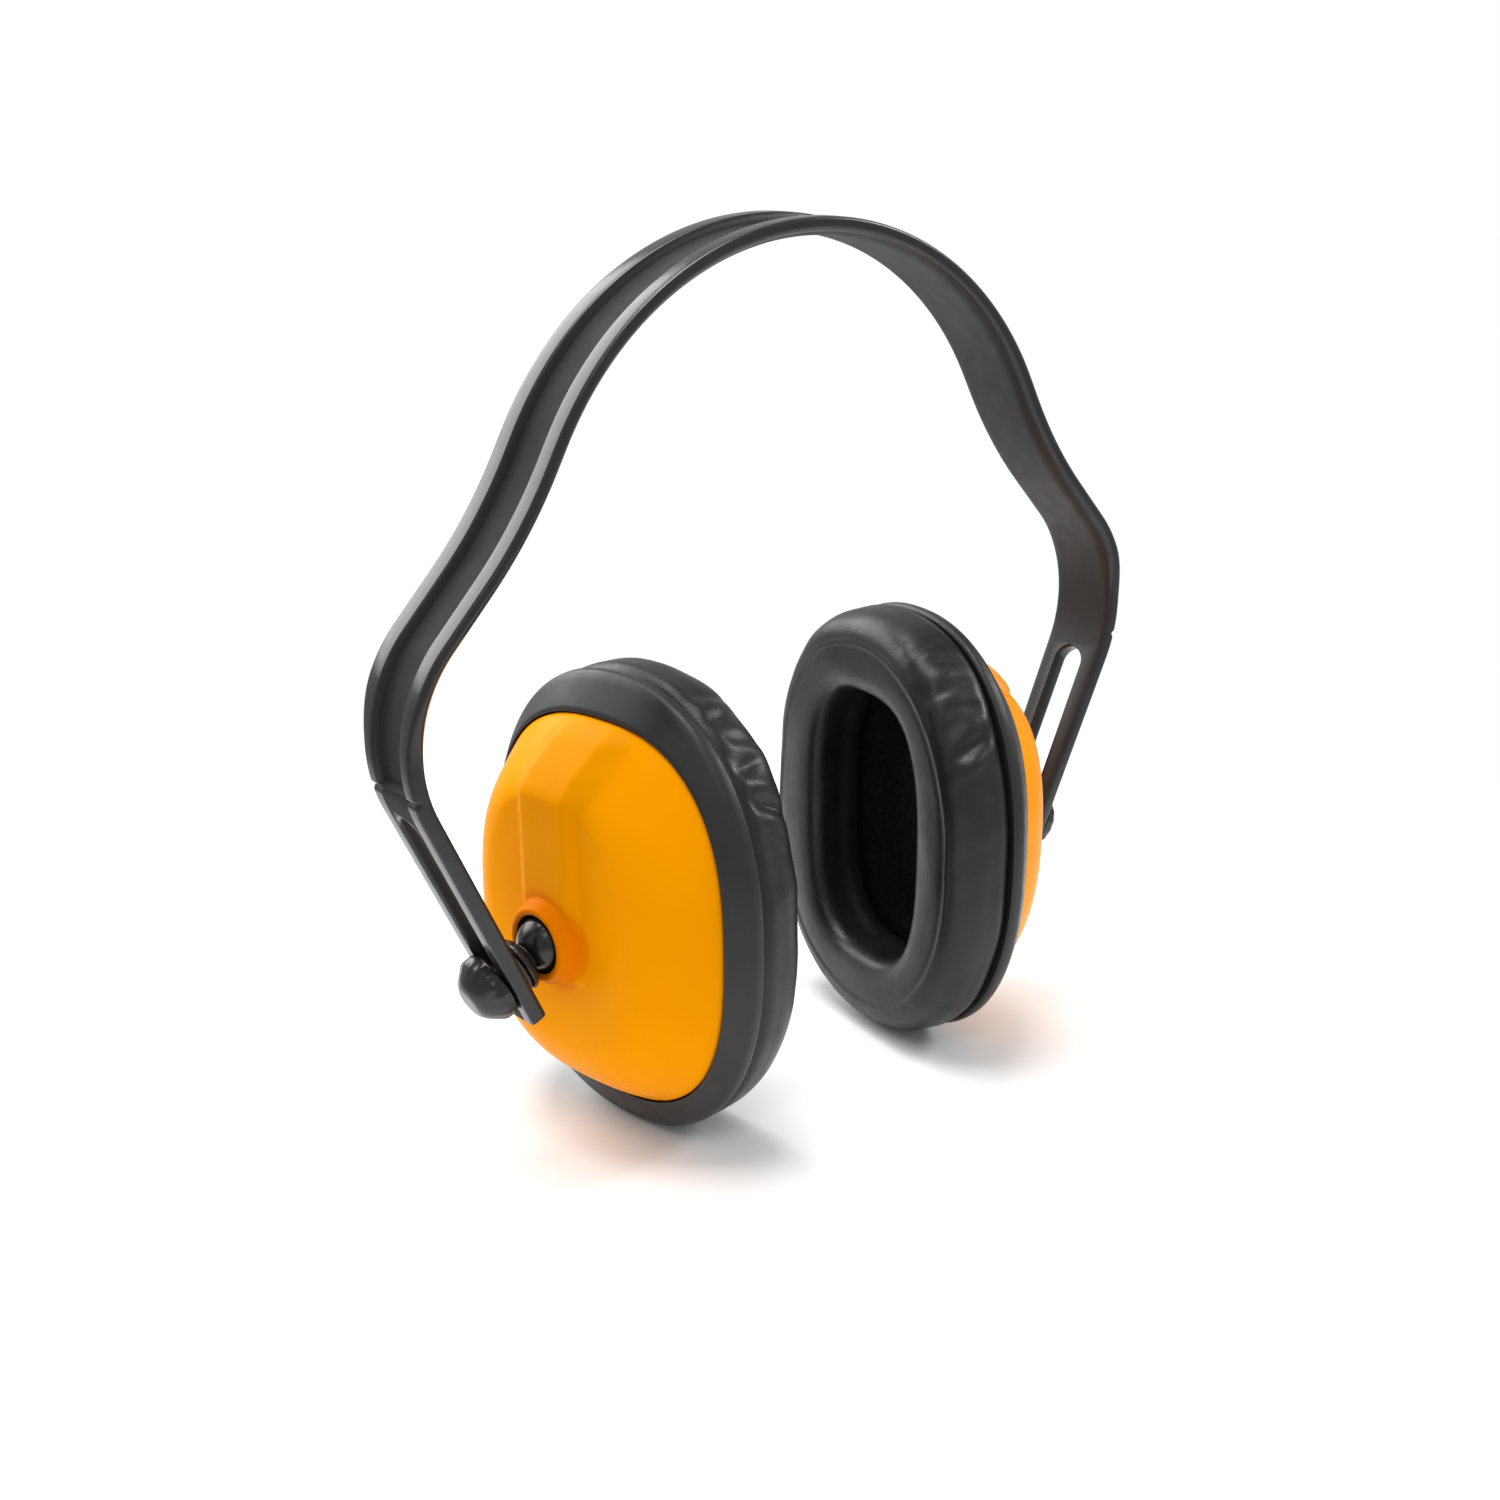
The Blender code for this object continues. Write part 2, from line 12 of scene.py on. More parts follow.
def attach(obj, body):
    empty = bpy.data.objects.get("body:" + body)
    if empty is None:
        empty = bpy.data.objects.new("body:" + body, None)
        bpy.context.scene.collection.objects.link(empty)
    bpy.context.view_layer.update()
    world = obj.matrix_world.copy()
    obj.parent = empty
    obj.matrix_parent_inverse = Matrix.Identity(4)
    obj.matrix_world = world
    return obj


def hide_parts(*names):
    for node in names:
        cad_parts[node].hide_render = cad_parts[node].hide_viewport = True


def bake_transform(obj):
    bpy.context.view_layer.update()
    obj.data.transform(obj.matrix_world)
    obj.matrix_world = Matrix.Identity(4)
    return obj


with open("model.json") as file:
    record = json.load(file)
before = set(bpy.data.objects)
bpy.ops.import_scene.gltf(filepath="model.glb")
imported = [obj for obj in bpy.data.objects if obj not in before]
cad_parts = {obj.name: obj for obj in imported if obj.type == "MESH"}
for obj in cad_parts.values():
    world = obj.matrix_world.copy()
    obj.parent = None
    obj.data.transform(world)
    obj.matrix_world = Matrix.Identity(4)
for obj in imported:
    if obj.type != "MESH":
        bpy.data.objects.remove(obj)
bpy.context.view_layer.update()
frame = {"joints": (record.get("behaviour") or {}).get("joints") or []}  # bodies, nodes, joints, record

MM = 0.001
GAP = 0.3

# Headband
CROWN_Z = 199.9
CROWN_RADIUS = 74.5
CROWN_TURN = 61.0
CROWN_STRAIGHT = 5.8
WAIST_RADIUS = 105.0
WAIST_TURN = 14.5
WAIST_STRAIGHT = 13.5
SHOULDER_RADIUS = 34.0
LEG_ANGLE = 24.5
LEG_LENGTH = 55.6
BAND_THICKNESS = 4.0
CROWN_WIDTH = 18.6
SHOULDER_WIDTH = 18.0
TIP_WIDTH = 16.4
FLANGE_WIDTH = 3.4
FLANGE_SPREAD = 1.5             # how much further each flange reaches above the shoulder
FLANGE_THICKNESS = 2.3
FLANGE_CHAMFER = 2.6
EDGE_ROUNDING = 0.7
SPREAD_FADE = (8.0, 24.0)      # distances before the channel's end where the flanges narrow
CHANNEL_DEPTH = 2.2
CHANNEL_END = 62.0
CHANNEL_RAMP = 1.4
CHANNEL_WALL_LEAN = 0.7
LEG_FACE_DEPTH = 0.02           # the channel's depth below its end, where the leg is flat
NOTCH_DEPTH = 0.75
NOTCH_WIDTH = 0.55
NOTCH_PLACE = 0.2
SLOT_WIDTH = 8.0
SLOT_LOW = 9.6
SLOT_HIGH = 51.5
SLOT_FLARE = [(1.0, 1.6), (0.02, 0.62), (-0.18, 0.30), (-0.42, 0.10), (-0.8, 0.0)]
SLOT_END_POINTS = 17
TIP_ROUNDING = 1.1
BAND_STEP = 1.5
SECTION_STEPS = 4
SECTION_RADII = (0.9, 0.5, 0.5, 0.5, 0.5, 0.9, 1.2, 1.6, 1.6, 1.2)
SECTION_MATT = (0.0, 0.0, 1.0, 1.0, 0.0, 0.0, 0.0, 0.6, 0.6, 0.0)

# Ball stud, knob and bush
BALL_OFFSET = 10.2
BALL_RADIUS = 6.3
NECK_RADIUS = 3.2
STUD_SHOULDER_RADIUS = 6.4
STUD_SHOULDER_HEIGHT = 2.9
SHANK_RADIUS = 3.5
SHANK_LENGTH = 4.8
KNOB_BORE_RADIUS = 3.8
KNOB_RADIUS = 7.8
KNOB_HEIGHT = 7.2
KNOB_RIM_HEIGHT = 3.0
KNOB_CONE_RADIUS = 5.0
KNOB_NOSE_RADIUS = 3.4
FLUTES = 18
FLUTE_DEPTH = 0.022             # share of the radius
WASHER_RADIUS = 6.0
WASHER_THICKNESS = 0.9
BUSH_INNER_RADIUS = 6.6
BUSH_OUTER_RADIUS = 8.3
BUSH_BACK_ANGLE = 140.0
SEAT_RADIUS = 8.6
SOCKET_WALL_RADIUS = 10.6

# Ear cup; an outline is (half width, half height, superellipse power)
CUP_Z = 54.1
SEAL_TO_BALL = 41.8
TOE_ANGLE = 7.0
CUSHION_OUTLINE = (41.4, 53.4, 2.2)
EAR_HOLE_OUTLINE = (21.0, 33.0, 2.9)
CUSHION_WIDTH = CUSHION_OUTLINE[0] - EAR_HOLE_OUTLINE[0]
CUSHION_BACK = 16.2
PLATE_THICKNESS = 2.0
COLLAR_FRONT = 16.6
COLLAR_OUTLINE = (42.5, 53.6, 2.25)
COLLAR_OPENING = (30.0, 40.0, 2.6)
COLLAR_BEVEL_WIDTH = 7.5
COLLAR_SHELF_WIDTH = 8.0
BORDER_DEPTH = 23.8
BORDER_OUTLINE = (36.8, 44.2, 2.6)
DOME_DEPTH = 39.5
DOME_FLAT = 0.55                # share of the outline that the flat outer face fills
DOME_FLAT_TOP = 0.68
DOME_POWER = 2.2                # how round the dome falls to its border
DOME_POWER_TOP = 1.3
SHELL_WALL = 2.2
SKIRT_DEPTH = 19.2
RIB_HALF_WIDTH = 6.8
RIB_SIDE_SLOPE = 0.8
RIB_BOTTOM = -11.3
RIB_RISE = 2.2
RIB_CREST = [(0.0, 44.2), (1.0, 44.0), (6.7, 41.6), (13.8, 36.0), (16.8, 32.8)]
RIB_FACE_TOP = 31.0
RIB_EDGE_SOFTNESS = 0.5
RIB_ROOT_SOFTNESS = 0.35
BOSS_BASE_RADIUS = 11.2
BOSS_RIM_RADIUS = 9.0
BUSH_TOP = 1.0
LIP_RADIUS = 6.7
LIP_TOP = 2.95
BOSS_ZONE_RADIUS = 14.0
# radii round the socket over which the painted shade on the shell fades out
BOSS_SHADE_FADE = (9.6, 12.6)
SOCKET_BACK_ANGLE = 176.0
SOCKET_WALL_ANGLE = 115.0
SEAT_MOUTH_ANGLE = 72.5
SHELL_AROUND = 288
RIB_CROWDING = 0.33             # draws the shell's radial lines towards the rib
LINER_FRONT = 19.6
LINER_BACK = 27.4
LINER_RECESS = 24.0
LINER_HOLLOW = (24.0, 34.0, 2.6)
LINER_CLEARANCE = 0.6
DIMPLE_SCALE = 0.32             # per mm
DIMPLE_DEPTH = 0.35

# Cushion cloth
CLOTH_AROUND = 78
CLOTH_ACROSS = 22
CLOTH_PRESSURE = 4.0
CLOTH_FRAMES = 20
CLOTH_CAP = 2.2
CLOTH_SHRINK = 0.9
CLOTH_REFINE = 4

# Cushion seam and wrinkles; a share is 1 on the cushion's outline
BEAD_SHARE = 0.868
BEAD_HEIGHT = 0.28
SEAM_SHARE = 0.845
SEAM_DEPTH = 0.18
BROAD_SWELL = 0.5
PUCKER_ANGLE = 42.0
PUCKER_SPREAD = 22.0
FOLD_LENGTH = 4.2
# angle up from the front, width in degrees, height, slant with depth, where along the wall
FOLDS = [(33.0, 1.6, -1.6, 0.35, 8.0), (37.5, 2.2, 0.9, 0.30, 8.5), (28.5, 2.0, 0.7, 0.35, 7.5),
         (43.5, 1.6, -0.8, -0.25, 9.5), (50.5, 1.9, -0.8, 0.20, 8.0), (58.5, 1.5, -0.5, -0.3, 9.5),
         (21.0, 1.6, -0.45, 0.1, 10.0), (66.0, 1.6, -0.4, 0.15, 7.0)]
WRINKLE_SEEDS = {"left": 9.0, "right": 4.0}

SIDES = (("left", -1.0), ("right", 1.0))


# ---- small tools ----

def smoothstep(x, low, high):
    t = np.clip((x - low) / (high - low), 0.0, 1.0)
    return t * t * (3.0 - 2.0 * t)


def smooth_max(a, b, softness):
    return 0.5 * (a + b + np.sqrt((a - b) ** 2 + softness ** 2))


def bell(x, centre, width):
    return np.exp(-((x - centre) / width) ** 2)


def joint_named(name):
    return next(j for j in frame["joints"] if j["name"] == name)


def grow(outline, amount):
    return (outline[0] + amount, outline[1] + amount, outline[2])


def superellipse(outline, count):
    """Points round an outline as an array of (y, z)."""
    half_width, half_height, power = outline
    angle = 2.0 * math.pi * (np.arange(count) + 0.5) / count
    c, s = np.cos(angle), np.sin(angle)
    return np.stack([np.sign(c) * np.abs(c) ** (2.0 / power) * half_width,
                     np.sign(s) * np.abs(s) ** (2.0 / power) * half_height], axis=1)


def outline_share(y, z, outline):
    """0 at the outline's centre and 1 on the outline."""
    half_width, half_height, power = outline
    return ((np.abs(y) / half_width) ** power + (np.abs(z) / half_height) ** power) ** (1.0 / power)


def reach(directions, centre_z, outline):
    """Distance from (0, centre_z) to the outline along each direction."""
    near = np.zeros(len(directions))
    far = np.full(len(directions), 120.0)
    for _ in range(45):
        middle = (near + far) / 2.0
        inside = outline_share(directions[:, 0] * middle,
                               centre_z + directions[:, 1] * middle, outline) < 1.0
        near = np.where(inside, middle, near)
        far = np.where(inside, far, middle)
    return near


def round_corners(points, radii, steps=3, closed=True):
    """Replace each corner of a line by a short curve that starts a radius away from it."""
    points = [Vector(p) for p in points]
    count = len(points)
    out = []
    for i, (corner, radius) in enumerate(zip(points, radii)):
        if not closed and i in (0, count - 1):
            out.append(tuple(corner))
            continue
        before = points[i - 1] - corner
        after = points[(i + 1) % count] - corner
        a = corner + before.normalized() * min(radius, 0.48 * before.length)
        b = corner + after.normalized() * min(radius, 0.48 * after.length)
        for k in range(steps + 1):
            t = k / steps
            out.append(tuple(a * (1 - t) ** 2 + corner * 2 * t * (1 - t) + b * t ** 2))
    return out


def grid_faces(rows, columns, wrap_rows=False):
    """Four-sided faces of a grid that closes round its columns."""
    faces = []
    for i in range(rows if wrap_rows else rows - 1):
        a = i * columns
        b = (i + 1) % rows * columns
        for j in range(columns):
            k = (j + 1) % columns
            faces.append((a + j, a + k, b + k, b + j))
    return faces


def closed_tube(rows, columns):
    """A grid whose first and last rows are filled."""
    return grid_faces(rows, columns) + [tuple(range(columns)),
                                        tuple(range((rows - 1) * columns, rows * columns))]


def pole_faces(row, columns, pole):
    """Triangles from one row of a grid to a pole point."""
    return [(pole, row * columns + j, row * columns + (j + 1) % columns) for j in range(columns)]


def make_object(name, points, faces, finish, smooth_angle=40.0):
    """Mesh object from points in millimetres in the row frame, with its normals outward."""
    mesh = bpy.data.meshes.new(name)
    mesh.from_pydata([tuple(p) for p in np.asarray(points) * MM], [], faces)
    mesh.update()
    volume = sum(face.center.dot(face.normal) * face.area for face in mesh.polygons)
    if volume < 0.0:
        mesh.flip_normals()
    mesh.shade_smooth()
    mesh.set_sharp_from_angle(angle=math.radians(smooth_angle))
    if finish is not None:
        mesh.materials.append(finish)
    obj = bpy.data.objects.new(name, mesh)
    bpy.context.scene.collection.objects.link(obj)
    return obj


def add_piece(obj, body, slot, *nodes):
    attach(obj, body)
    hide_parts(*nodes)
    return obj


# ---- materials ----

MATT_ROUGHNESS = 0.6            # added where the band's moulding is matt


class Finish:
    """A Principled material whose colour, roughness and bump come from procedural noise."""

    def __init__(self, name, **inputs):
        self.material = bpy.data.materials.new(name)
        self.material.use_nodes = True
        self.tree = self.material.node_tree
        self.shader = self.tree.nodes["Principled BSDF"]
        for key, value in inputs.items():
            self.shader.inputs[key.replace("_", " ")].default_value = value
        self.coordinates = self.tree.nodes.new("ShaderNodeTexCoord").outputs["Object"]
        self.height = None

    def link(self, out, into):
        self.tree.links.new(out, into)

    def noise(self, per_metre, detail=3.0, roughness=0.5):
        node = self.tree.nodes.new("ShaderNodeTexNoise")
        node.inputs["Scale"].default_value = per_metre
        node.inputs["Detail"].default_value = detail
        node.inputs["Roughness"].default_value = roughness
        self.link(self.coordinates, node.inputs["Vector"])
        return node.outputs["Fac"]

    def cells(self, per_metre):
        node = self.tree.nodes.new("ShaderNodeTexVoronoi")
        node.inputs["Scale"].default_value = per_metre
        self.link(self.coordinates, node.inputs["Vector"])
        return node.outputs["Distance"]

    def attribute(self, name):
        node = self.tree.nodes.new("ShaderNodeAttribute")
        node.attribute_name = name
        return node.outputs["Fac"]

    def between(self, source, low, high, from_low=0.3, from_high=0.7):
        node = self.tree.nodes.new("ShaderNodeMapRange")
        node.inputs["From Min"].default_value = from_low
        node.inputs["From Max"].default_value = from_high
        node.inputs["To Min"].default_value = low
        node.inputs["To Max"].default_value = high
        self.link(source, node.inputs["Value"])
        return node.outputs["Result"]

    def plus(self, a, b):
        node = self.tree.nodes.new("ShaderNodeMath")
        self.link(a, node.inputs[0])
        self.link(b, node.inputs[1])
        return node.outputs["Value"]

    def colours(self, source, *stops):
        ramp = self.tree.nodes.new("ShaderNodeValToRGB")
        elements = ramp.color_ramp.elements
        while len(elements) < len(stops):
            elements.new(0.5)
        for element, (place, colour) in zip(elements, stops):
            element.position = place
            element.color = (*colour, 1.0)
        self.link(source, ramp.inputs["Fac"])
        return ramp.outputs["Color"]

    def mix(self, share, a, b):
        """From colour a to colour b, a link or plain numbers each."""
        node = self.tree.nodes.new("ShaderNodeMix")
        node.data_type = "RGBA"
        self.link(share, node.inputs[0])
        for value, socket in ((a, node.inputs[6]), (b, node.inputs[7])):
            if isinstance(value, tuple):
                socket.default_value = (*value, 1.0)
            else:
                self.link(value, socket)
        return node.outputs[2]

    def shades(self, source, dark, light):
        """Two close shades of one colour, mixed by a noise."""
        return self.colours(source, (0.3, dark), (0.75, light))

    def colour(self, source):
        self.link(source, self.shader.inputs["Base Color"])

    def roughness(self, source):
        self.link(source, self.shader.inputs["Roughness"])

    def fade(self, start, end):
        """Clear beyond a distance from the origin, so that the white backdrop shows."""
        length = self.tree.nodes.new("ShaderNodeVectorMath")
        length.operation = "LENGTH"
        self.link(self.coordinates, length.inputs[0])
        clear = self.tree.nodes.new("ShaderNodeBsdfTransparent")
        mixed = self.tree.nodes.new("ShaderNodeMixShader")
        self.link(self.between(length.outputs["Value"], 0.0, 1.0, start, end), mixed.inputs[0])
        self.link(self.shader.outputs[0], mixed.inputs[1])
        self.link(clear.outputs[0], mixed.inputs[2])
        self.link(mixed.outputs[0], self.tree.nodes["Material Output"].inputs["Surface"])

    def bump(self, source, distance, strength=1.0):
        node = self.tree.nodes.new("ShaderNodeBump")
        node.inputs["Distance"].default_value = distance
        node.inputs["Strength"].default_value = strength
        self.link(source, node.inputs["Height"])
        if self.height is not None:
            self.link(self.height, node.inputs["Normal"])
        self.height = node.outputs["Normal"]
        self.link(self.height, self.shader.inputs["Normal"])


def band_finish():
    f = Finish("band_black_plastic", Specular_IOR_Level=0.46)
    f.colour(f.shades(f.noise(60.0, 4.0), (0.008, 0.008, 0.009), (0.013, 0.013, 0.014)))
    matt = f.attribute("matt")
    polish = f.between(f.noise(220.0, 5.0, 0.6), 0.18, 0.27)
    f.roughness(f.plus(polish, f.between(matt, 0.0, MATT_ROUGHNESS, 0.0, 1.0)))
    f.bump(f.noise(700.0, 2.0), 0.00001, 0.3)
    return f.material


def shell_finish():
    f = Finish("shell_orange_plastic", IOR=1.3, Specular_IOR_Level=0.05,
               Specular_Tint=(1.0, 0.72, 0.30, 1.0))
    body = f.shades(f.noise(35.0, 3.0), (0.88, 0.305, 0.0), (0.92, 0.325, 0.0))
    # painted shade: the orange turns darker and redder in a ring round the ball socket, where the hub
    # and boss shade the shell
    f.colour(f.mix(f.attribute("boss_painted_shade"), body, (0.78, 0.200, 0.0)))
    f.roughness(f.between(f.noise(180.0, 4.0), 0.24, 0.33))
    f.bump(f.noise(500.0, 2.0), 0.00001, 0.3)
    return f.material


def collar_finish():
    f = Finish("collar_black_plastic", Specular_IOR_Level=0.42)
    f.colour(f.shades(f.noise(90.0, 4.0), (0.010, 0.010, 0.011), (0.016, 0.016, 0.017)))
    f.roughness(f.between(f.noise(260.0, 4.0), 0.36, 0.48))
    f.bump(f.noise(1800.0, 3.0, 0.7), 0.00005, 0.5)
    return f.material


def vinyl_finish():
    f = Finish("vinyl_black", Specular_IOR_Level=0.36)
    f.colour(f.shades(f.noise(70.0, 5.0), (0.008, 0.008, 0.009), (0.014, 0.014, 0.015)))
    f.roughness(f.between(f.noise(140.0, 5.0, 0.6), 0.32, 0.46))
    f.bump(f.cells(1500.0), 0.00006, 0.45)
    f.bump(f.noise(260.0, 4.0, 0.6), 0.00018, 0.5)
    return f.material


def foam_finish():
    f = Finish("foam_black", Specular_IOR_Level=0.15)
    f.colour(f.colours(f.cells(700.0), (0.1, (0.003, 0.003, 0.003)), (0.6, (0.009, 0.009, 0.010))))
    f.roughness(f.between(f.noise(400.0, 4.0), 0.88, 1.0))
    f.bump(f.cells(900.0), 0.0004, 0.8)
    f.bump(f.noise(300.0, 5.0, 0.7), 0.0003, 0.5)
    return f.material


def grey_finish():
    f = Finish("inner_grey_plastic", Specular_IOR_Level=0.45)
    f.colour(f.shades(f.noise(80.0, 3.0), (0.050, 0.050, 0.055), (0.070, 0.070, 0.075)))
    f.roughness(f.between(f.noise(200.0, 4.0), 0.42, 0.56))
    f.bump(f.noise(1500.0, 3.0), 0.00004, 0.4)
    return f.material


# ---- headband ----

def band_half_line(step):
    """Outer line of one half: rows of x, z, tangent angle below horizontal, distance."""
    segments = [("arc", CROWN_RADIUS, CROWN_TURN), ("line", CROWN_STRAIGHT, 0.0),
                ("arc", WAIST_RADIUS, -WAIST_TURN), ("line", WAIST_STRAIGHT, 0.0),
                ("arc", SHOULDER_RADIUS, 90.0 + LEG_ANGLE - CROWN_TURN + WAIST_TURN),
                ("line", LEG_LENGTH, 0.0)]
    x, z, angle, run = 0.0, CROWN_Z, 0.0, 0.0
    rows = [(x, z, angle, run)]
    for kind, size, turn in segments:
        length = size if kind == "line" else size * math.radians(abs(turn))
        steps = max(1, math.ceil(length / step))
        for _ in range(steps):
            step_turn = math.radians(turn) / steps
            chord = length / steps
            if kind == "arc":
                chord = 2.0 * size * math.sin(abs(step_turn) / 2.0)
            middle = angle + step_turn / 2.0
            x += chord * math.cos(middle)
            z -= chord * math.sin(middle)
            angle += step_turn
            run += length / steps
            rows.append((x, z, angle, run))
    return np.array(rows)


BAND_LINE = band_half_line(BAND_STEP)
BAND_LENGTH = BAND_LINE[-1, 3]
BAND_Y = joint_named("band_flex")["pos_m"][1] / MM


def band_stations():
    """Stations of one half, closer together where the channel ends and at the leg's tip."""
    step_run = BAND_LENGTH - CHANNEL_END
    extra = [step_run + d for d in np.arange(-4.0, 3.0, 0.35)]
    extra += [BAND_LENGTH - TIP_ROUNDING * s for s in (0.8, 0.6, 0.4, 0.25, 0.12, 0.04)]
    runs = np.unique(np.round(np.concatenate([BAND_LINE[:, 3], extra]), 3))
    x, z, angle = (np.interp(runs, BAND_LINE[:, 3], BAND_LINE[:, k]) for k in range(3))
    return list(zip(x, z, angle, runs))


def band_half_width(run):
    leg_start = BAND_LENGTH - LEG_LENGTH
    width = np.interp(run, [0.0, leg_start, BAND_LENGTH], [CROWN_WIDTH, SHOULDER_WIDTH, TIP_WIDTH])
    from_tip = BAND_LENGTH - run
    if from_tip < TIP_ROUNDING:
        kept = math.sqrt(TIP_ROUNDING ** 2 - (TIP_ROUNDING - from_tip) ** 2)
        width -= 2.0 * (TIP_ROUNDING - kept)
    return width / 2.0


def band_section(run):
    """Across the band: (y, drop below the outer line), with rolled flange edges."""
    step_run = BAND_LENGTH - CHANNEL_END
    spread = 1.0 - float(smoothstep(run, step_run - SPREAD_FADE[1], step_run - SPREAD_FADE[0]))
    flange = band_half_width(run) - FLANGE_WIDTH
    half = band_half_width(run) + FLANGE_SPREAD * spread
    chamfer = EDGE_ROUNDING + (FLANGE_CHAMFER - EDGE_ROUNDING) * spread
    under = BAND_THICKNESS - EDGE_ROUNDING
    under += (FLANGE_THICKNESS - under) * spread
    open_share = 1.0 - float(smoothstep(run, step_run - CHANNEL_RAMP, step_run))
    floor = LEG_FACE_DEPTH + (CHANNEL_DEPTH - LEG_FACE_DEPTH) * open_share
    notch = NOTCH_DEPTH * float(bell(run, step_run + NOTCH_PLACE, NOTCH_WIDTH))
    foot = flange - CHANNEL_WALL_LEAN
    corners = [(-half, notch), (-flange, notch), (-foot, floor + notch), (foot, floor + notch),
               (flange, notch), (half, notch), (half, under), (half - chamfer, BAND_THICKNESS),
               (-half + chamfer, BAND_THICKNESS), (-half, under)]
    return round_corners(corners, SECTION_RADII, steps=SECTION_STEPS)


def band_matt():
    """How matt each point of a section is: the channel's floor fully, the inner face partly."""
    return [share for share in SECTION_MATT for _ in range(SECTION_STEPS + 1)]


def slot_cutter(side):
    """Round-ended bar through the leg, flared at both faces so that the slot's edges are soft."""
    tip_x, tip_z = BAND_LINE[-1, 0], BAND_LINE[-1, 1]
    lean = math.radians(LEG_ANGLE)
    up = np.array([math.sin(lean), math.cos(lean)])
    out = np.array([math.cos(lean), -math.sin(lean)])
    levels = SLOT_FLARE + [(-BAND_THICKNESS - level, extra) for level, extra in SLOT_FLARE[::-1]]
    points = []
    half_turn = np.linspace(0.0, math.pi, SLOT_END_POINTS)
    for level, extra in levels:
        radius = SLOT_WIDTH / 2.0 + extra
        for centre, start in ((SLOT_HIGH, 0.0), (SLOT_LOW, math.pi)):
            for angle in half_turn + start:
                along = centre + radius * math.sin(angle)
                points.append((side * (tip_x + up[0] * along + out[0] * level),
                               BAND_Y + radius * math.cos(angle),
                               tip_z + up[1] * along + out[1] * level))
    faces = closed_tube(len(levels), 2 * SLOT_END_POINTS)
    return make_object("slot_cutter", points, faces, None)


def build_band(finish):
    """One continuous moulding from the left leg over the crown to the right leg."""
    half = band_stations()
    stations = [(-1.0, s) for s in half[:0:-1]] + [(1.0, s) for s in half]
    points = []
    for side, (x, z, angle, run) in stations:
        inward = (-math.sin(angle), -math.cos(angle))
        points += [(side * (x + inward[0] * drop), BAND_Y + y, z + inward[1] * drop)
                   for y, drop in band_section(run)]
    faces = closed_tube(len(stations), len(points) // len(stations))
    band = make_object("headband", points, faces, finish)
    matt = band.data.attributes.new("matt", "FLOAT", "POINT")
    matt.data.foreach_set("value", band_matt() * len(stations))
    cutters = [slot_cutter(side) for _, side in SIDES]
    for cutter in cutters:
        cut = band.modifiers.new("slot", "BOOLEAN")
        cut.object = cutter
        cut.operation = "DIFFERENCE"
        cut.solver = "EXACT"
    bpy.context.view_layer.update()
    evaluated = band.evaluated_get(bpy.context.evaluated_depsgraph_get())
    mesh = bpy.data.meshes.new_from_object(evaluated)
    band.modifiers.clear()
    band.data = mesh
    for cutter in cutters:
        bpy.data.objects.remove(cutter, do_unlink=True)
    mesh.shade_smooth()
    mesh.set_sharp_from_angle(angle=math.radians(32.0))
    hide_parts("headband_left", "headband_right")
    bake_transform(band)
    return band


# ---- turned pieces: +X points from the ball out through the leg ----

def turned(name, profile, matrix, finish, closed=False, count=96, shape=None):
    """Turn (distance, radius) points about X. shape(angle, distance) may scale the radius."""
    angles = 2.0 * math.pi * np.arange(count) / count
    rows, faces, poles = [], [], []
    ring = [(x, r) for x, r in profile if r > 1e-6]
    for x, r in ring:
        scale = np.ones(count) if shape is None else shape(angles, x)
        rows.append(np.stack([np.full(count, x), r * scale * np.cos(angles),
                              r * scale * np.sin(angles)], axis=1))
    points = np.concatenate(rows)
    faces = grid_faces(len(ring), count, wrap_rows=closed)
    if not closed:
        for end, row in ((profile[0], 0), (profile[-1], len(ring) - 1)):
            faces += pole_faces(row, count, len(points) + len(poles))
            poles.append((end[0], 0.0, 0.0))
        points = np.concatenate([points, np.array(poles)])
    rotation = np.array(matrix.to_3x3())
    return make_object(name, points @ rotation.T + np.array(matrix.translation), faces, finish)


def arc(radius, start, end, count):
    angles = np.radians(np.linspace(start, end, count + 1))
    return [(radius * math.cos(a), radius * math.sin(a)) for a in angles]


def build_stud(label, matrix, finish):
    """Ball, neck, shoulder under the leg, and the shank that passes through the slot."""
    top = BALL_OFFSET - WASHER_THICKNESS - 2.0 * GAP
    base = top - STUD_SHOULDER_HEIGHT
    neck_angle = math.degrees(math.asin(NECK_RADIUS / BALL_RADIUS))
    end = BALL_OFFSET + BAND_THICKNESS + SHANK_LENGTH
    line = [(base, NECK_RADIUS), (base + 0.2, NECK_RADIUS + 1.6),
            (base + 1.1, STUD_SHOULDER_RADIUS - 0.5), (base + 1.9, STUD_SHOULDER_RADIUS),
            (top, STUD_SHOULDER_RADIUS), (top, SHANK_RADIUS), (end, SHANK_RADIUS), (end, 0.0)]
    profile = arc(BALL_RADIUS, 180.0, neck_angle, 30)
    profile[0] = (-BALL_RADIUS, 0.0)
    profile += round_corners(line, (0, 0.9, 0.7, 0.6, 0.5, 0.2, 0.5, 0), closed=False)
    stud = turned(label + "_ball_stud_smooth", profile, matrix, finish)
    return add_piece(stud, label + "_stud", "band_black", label + "_ball_stud")


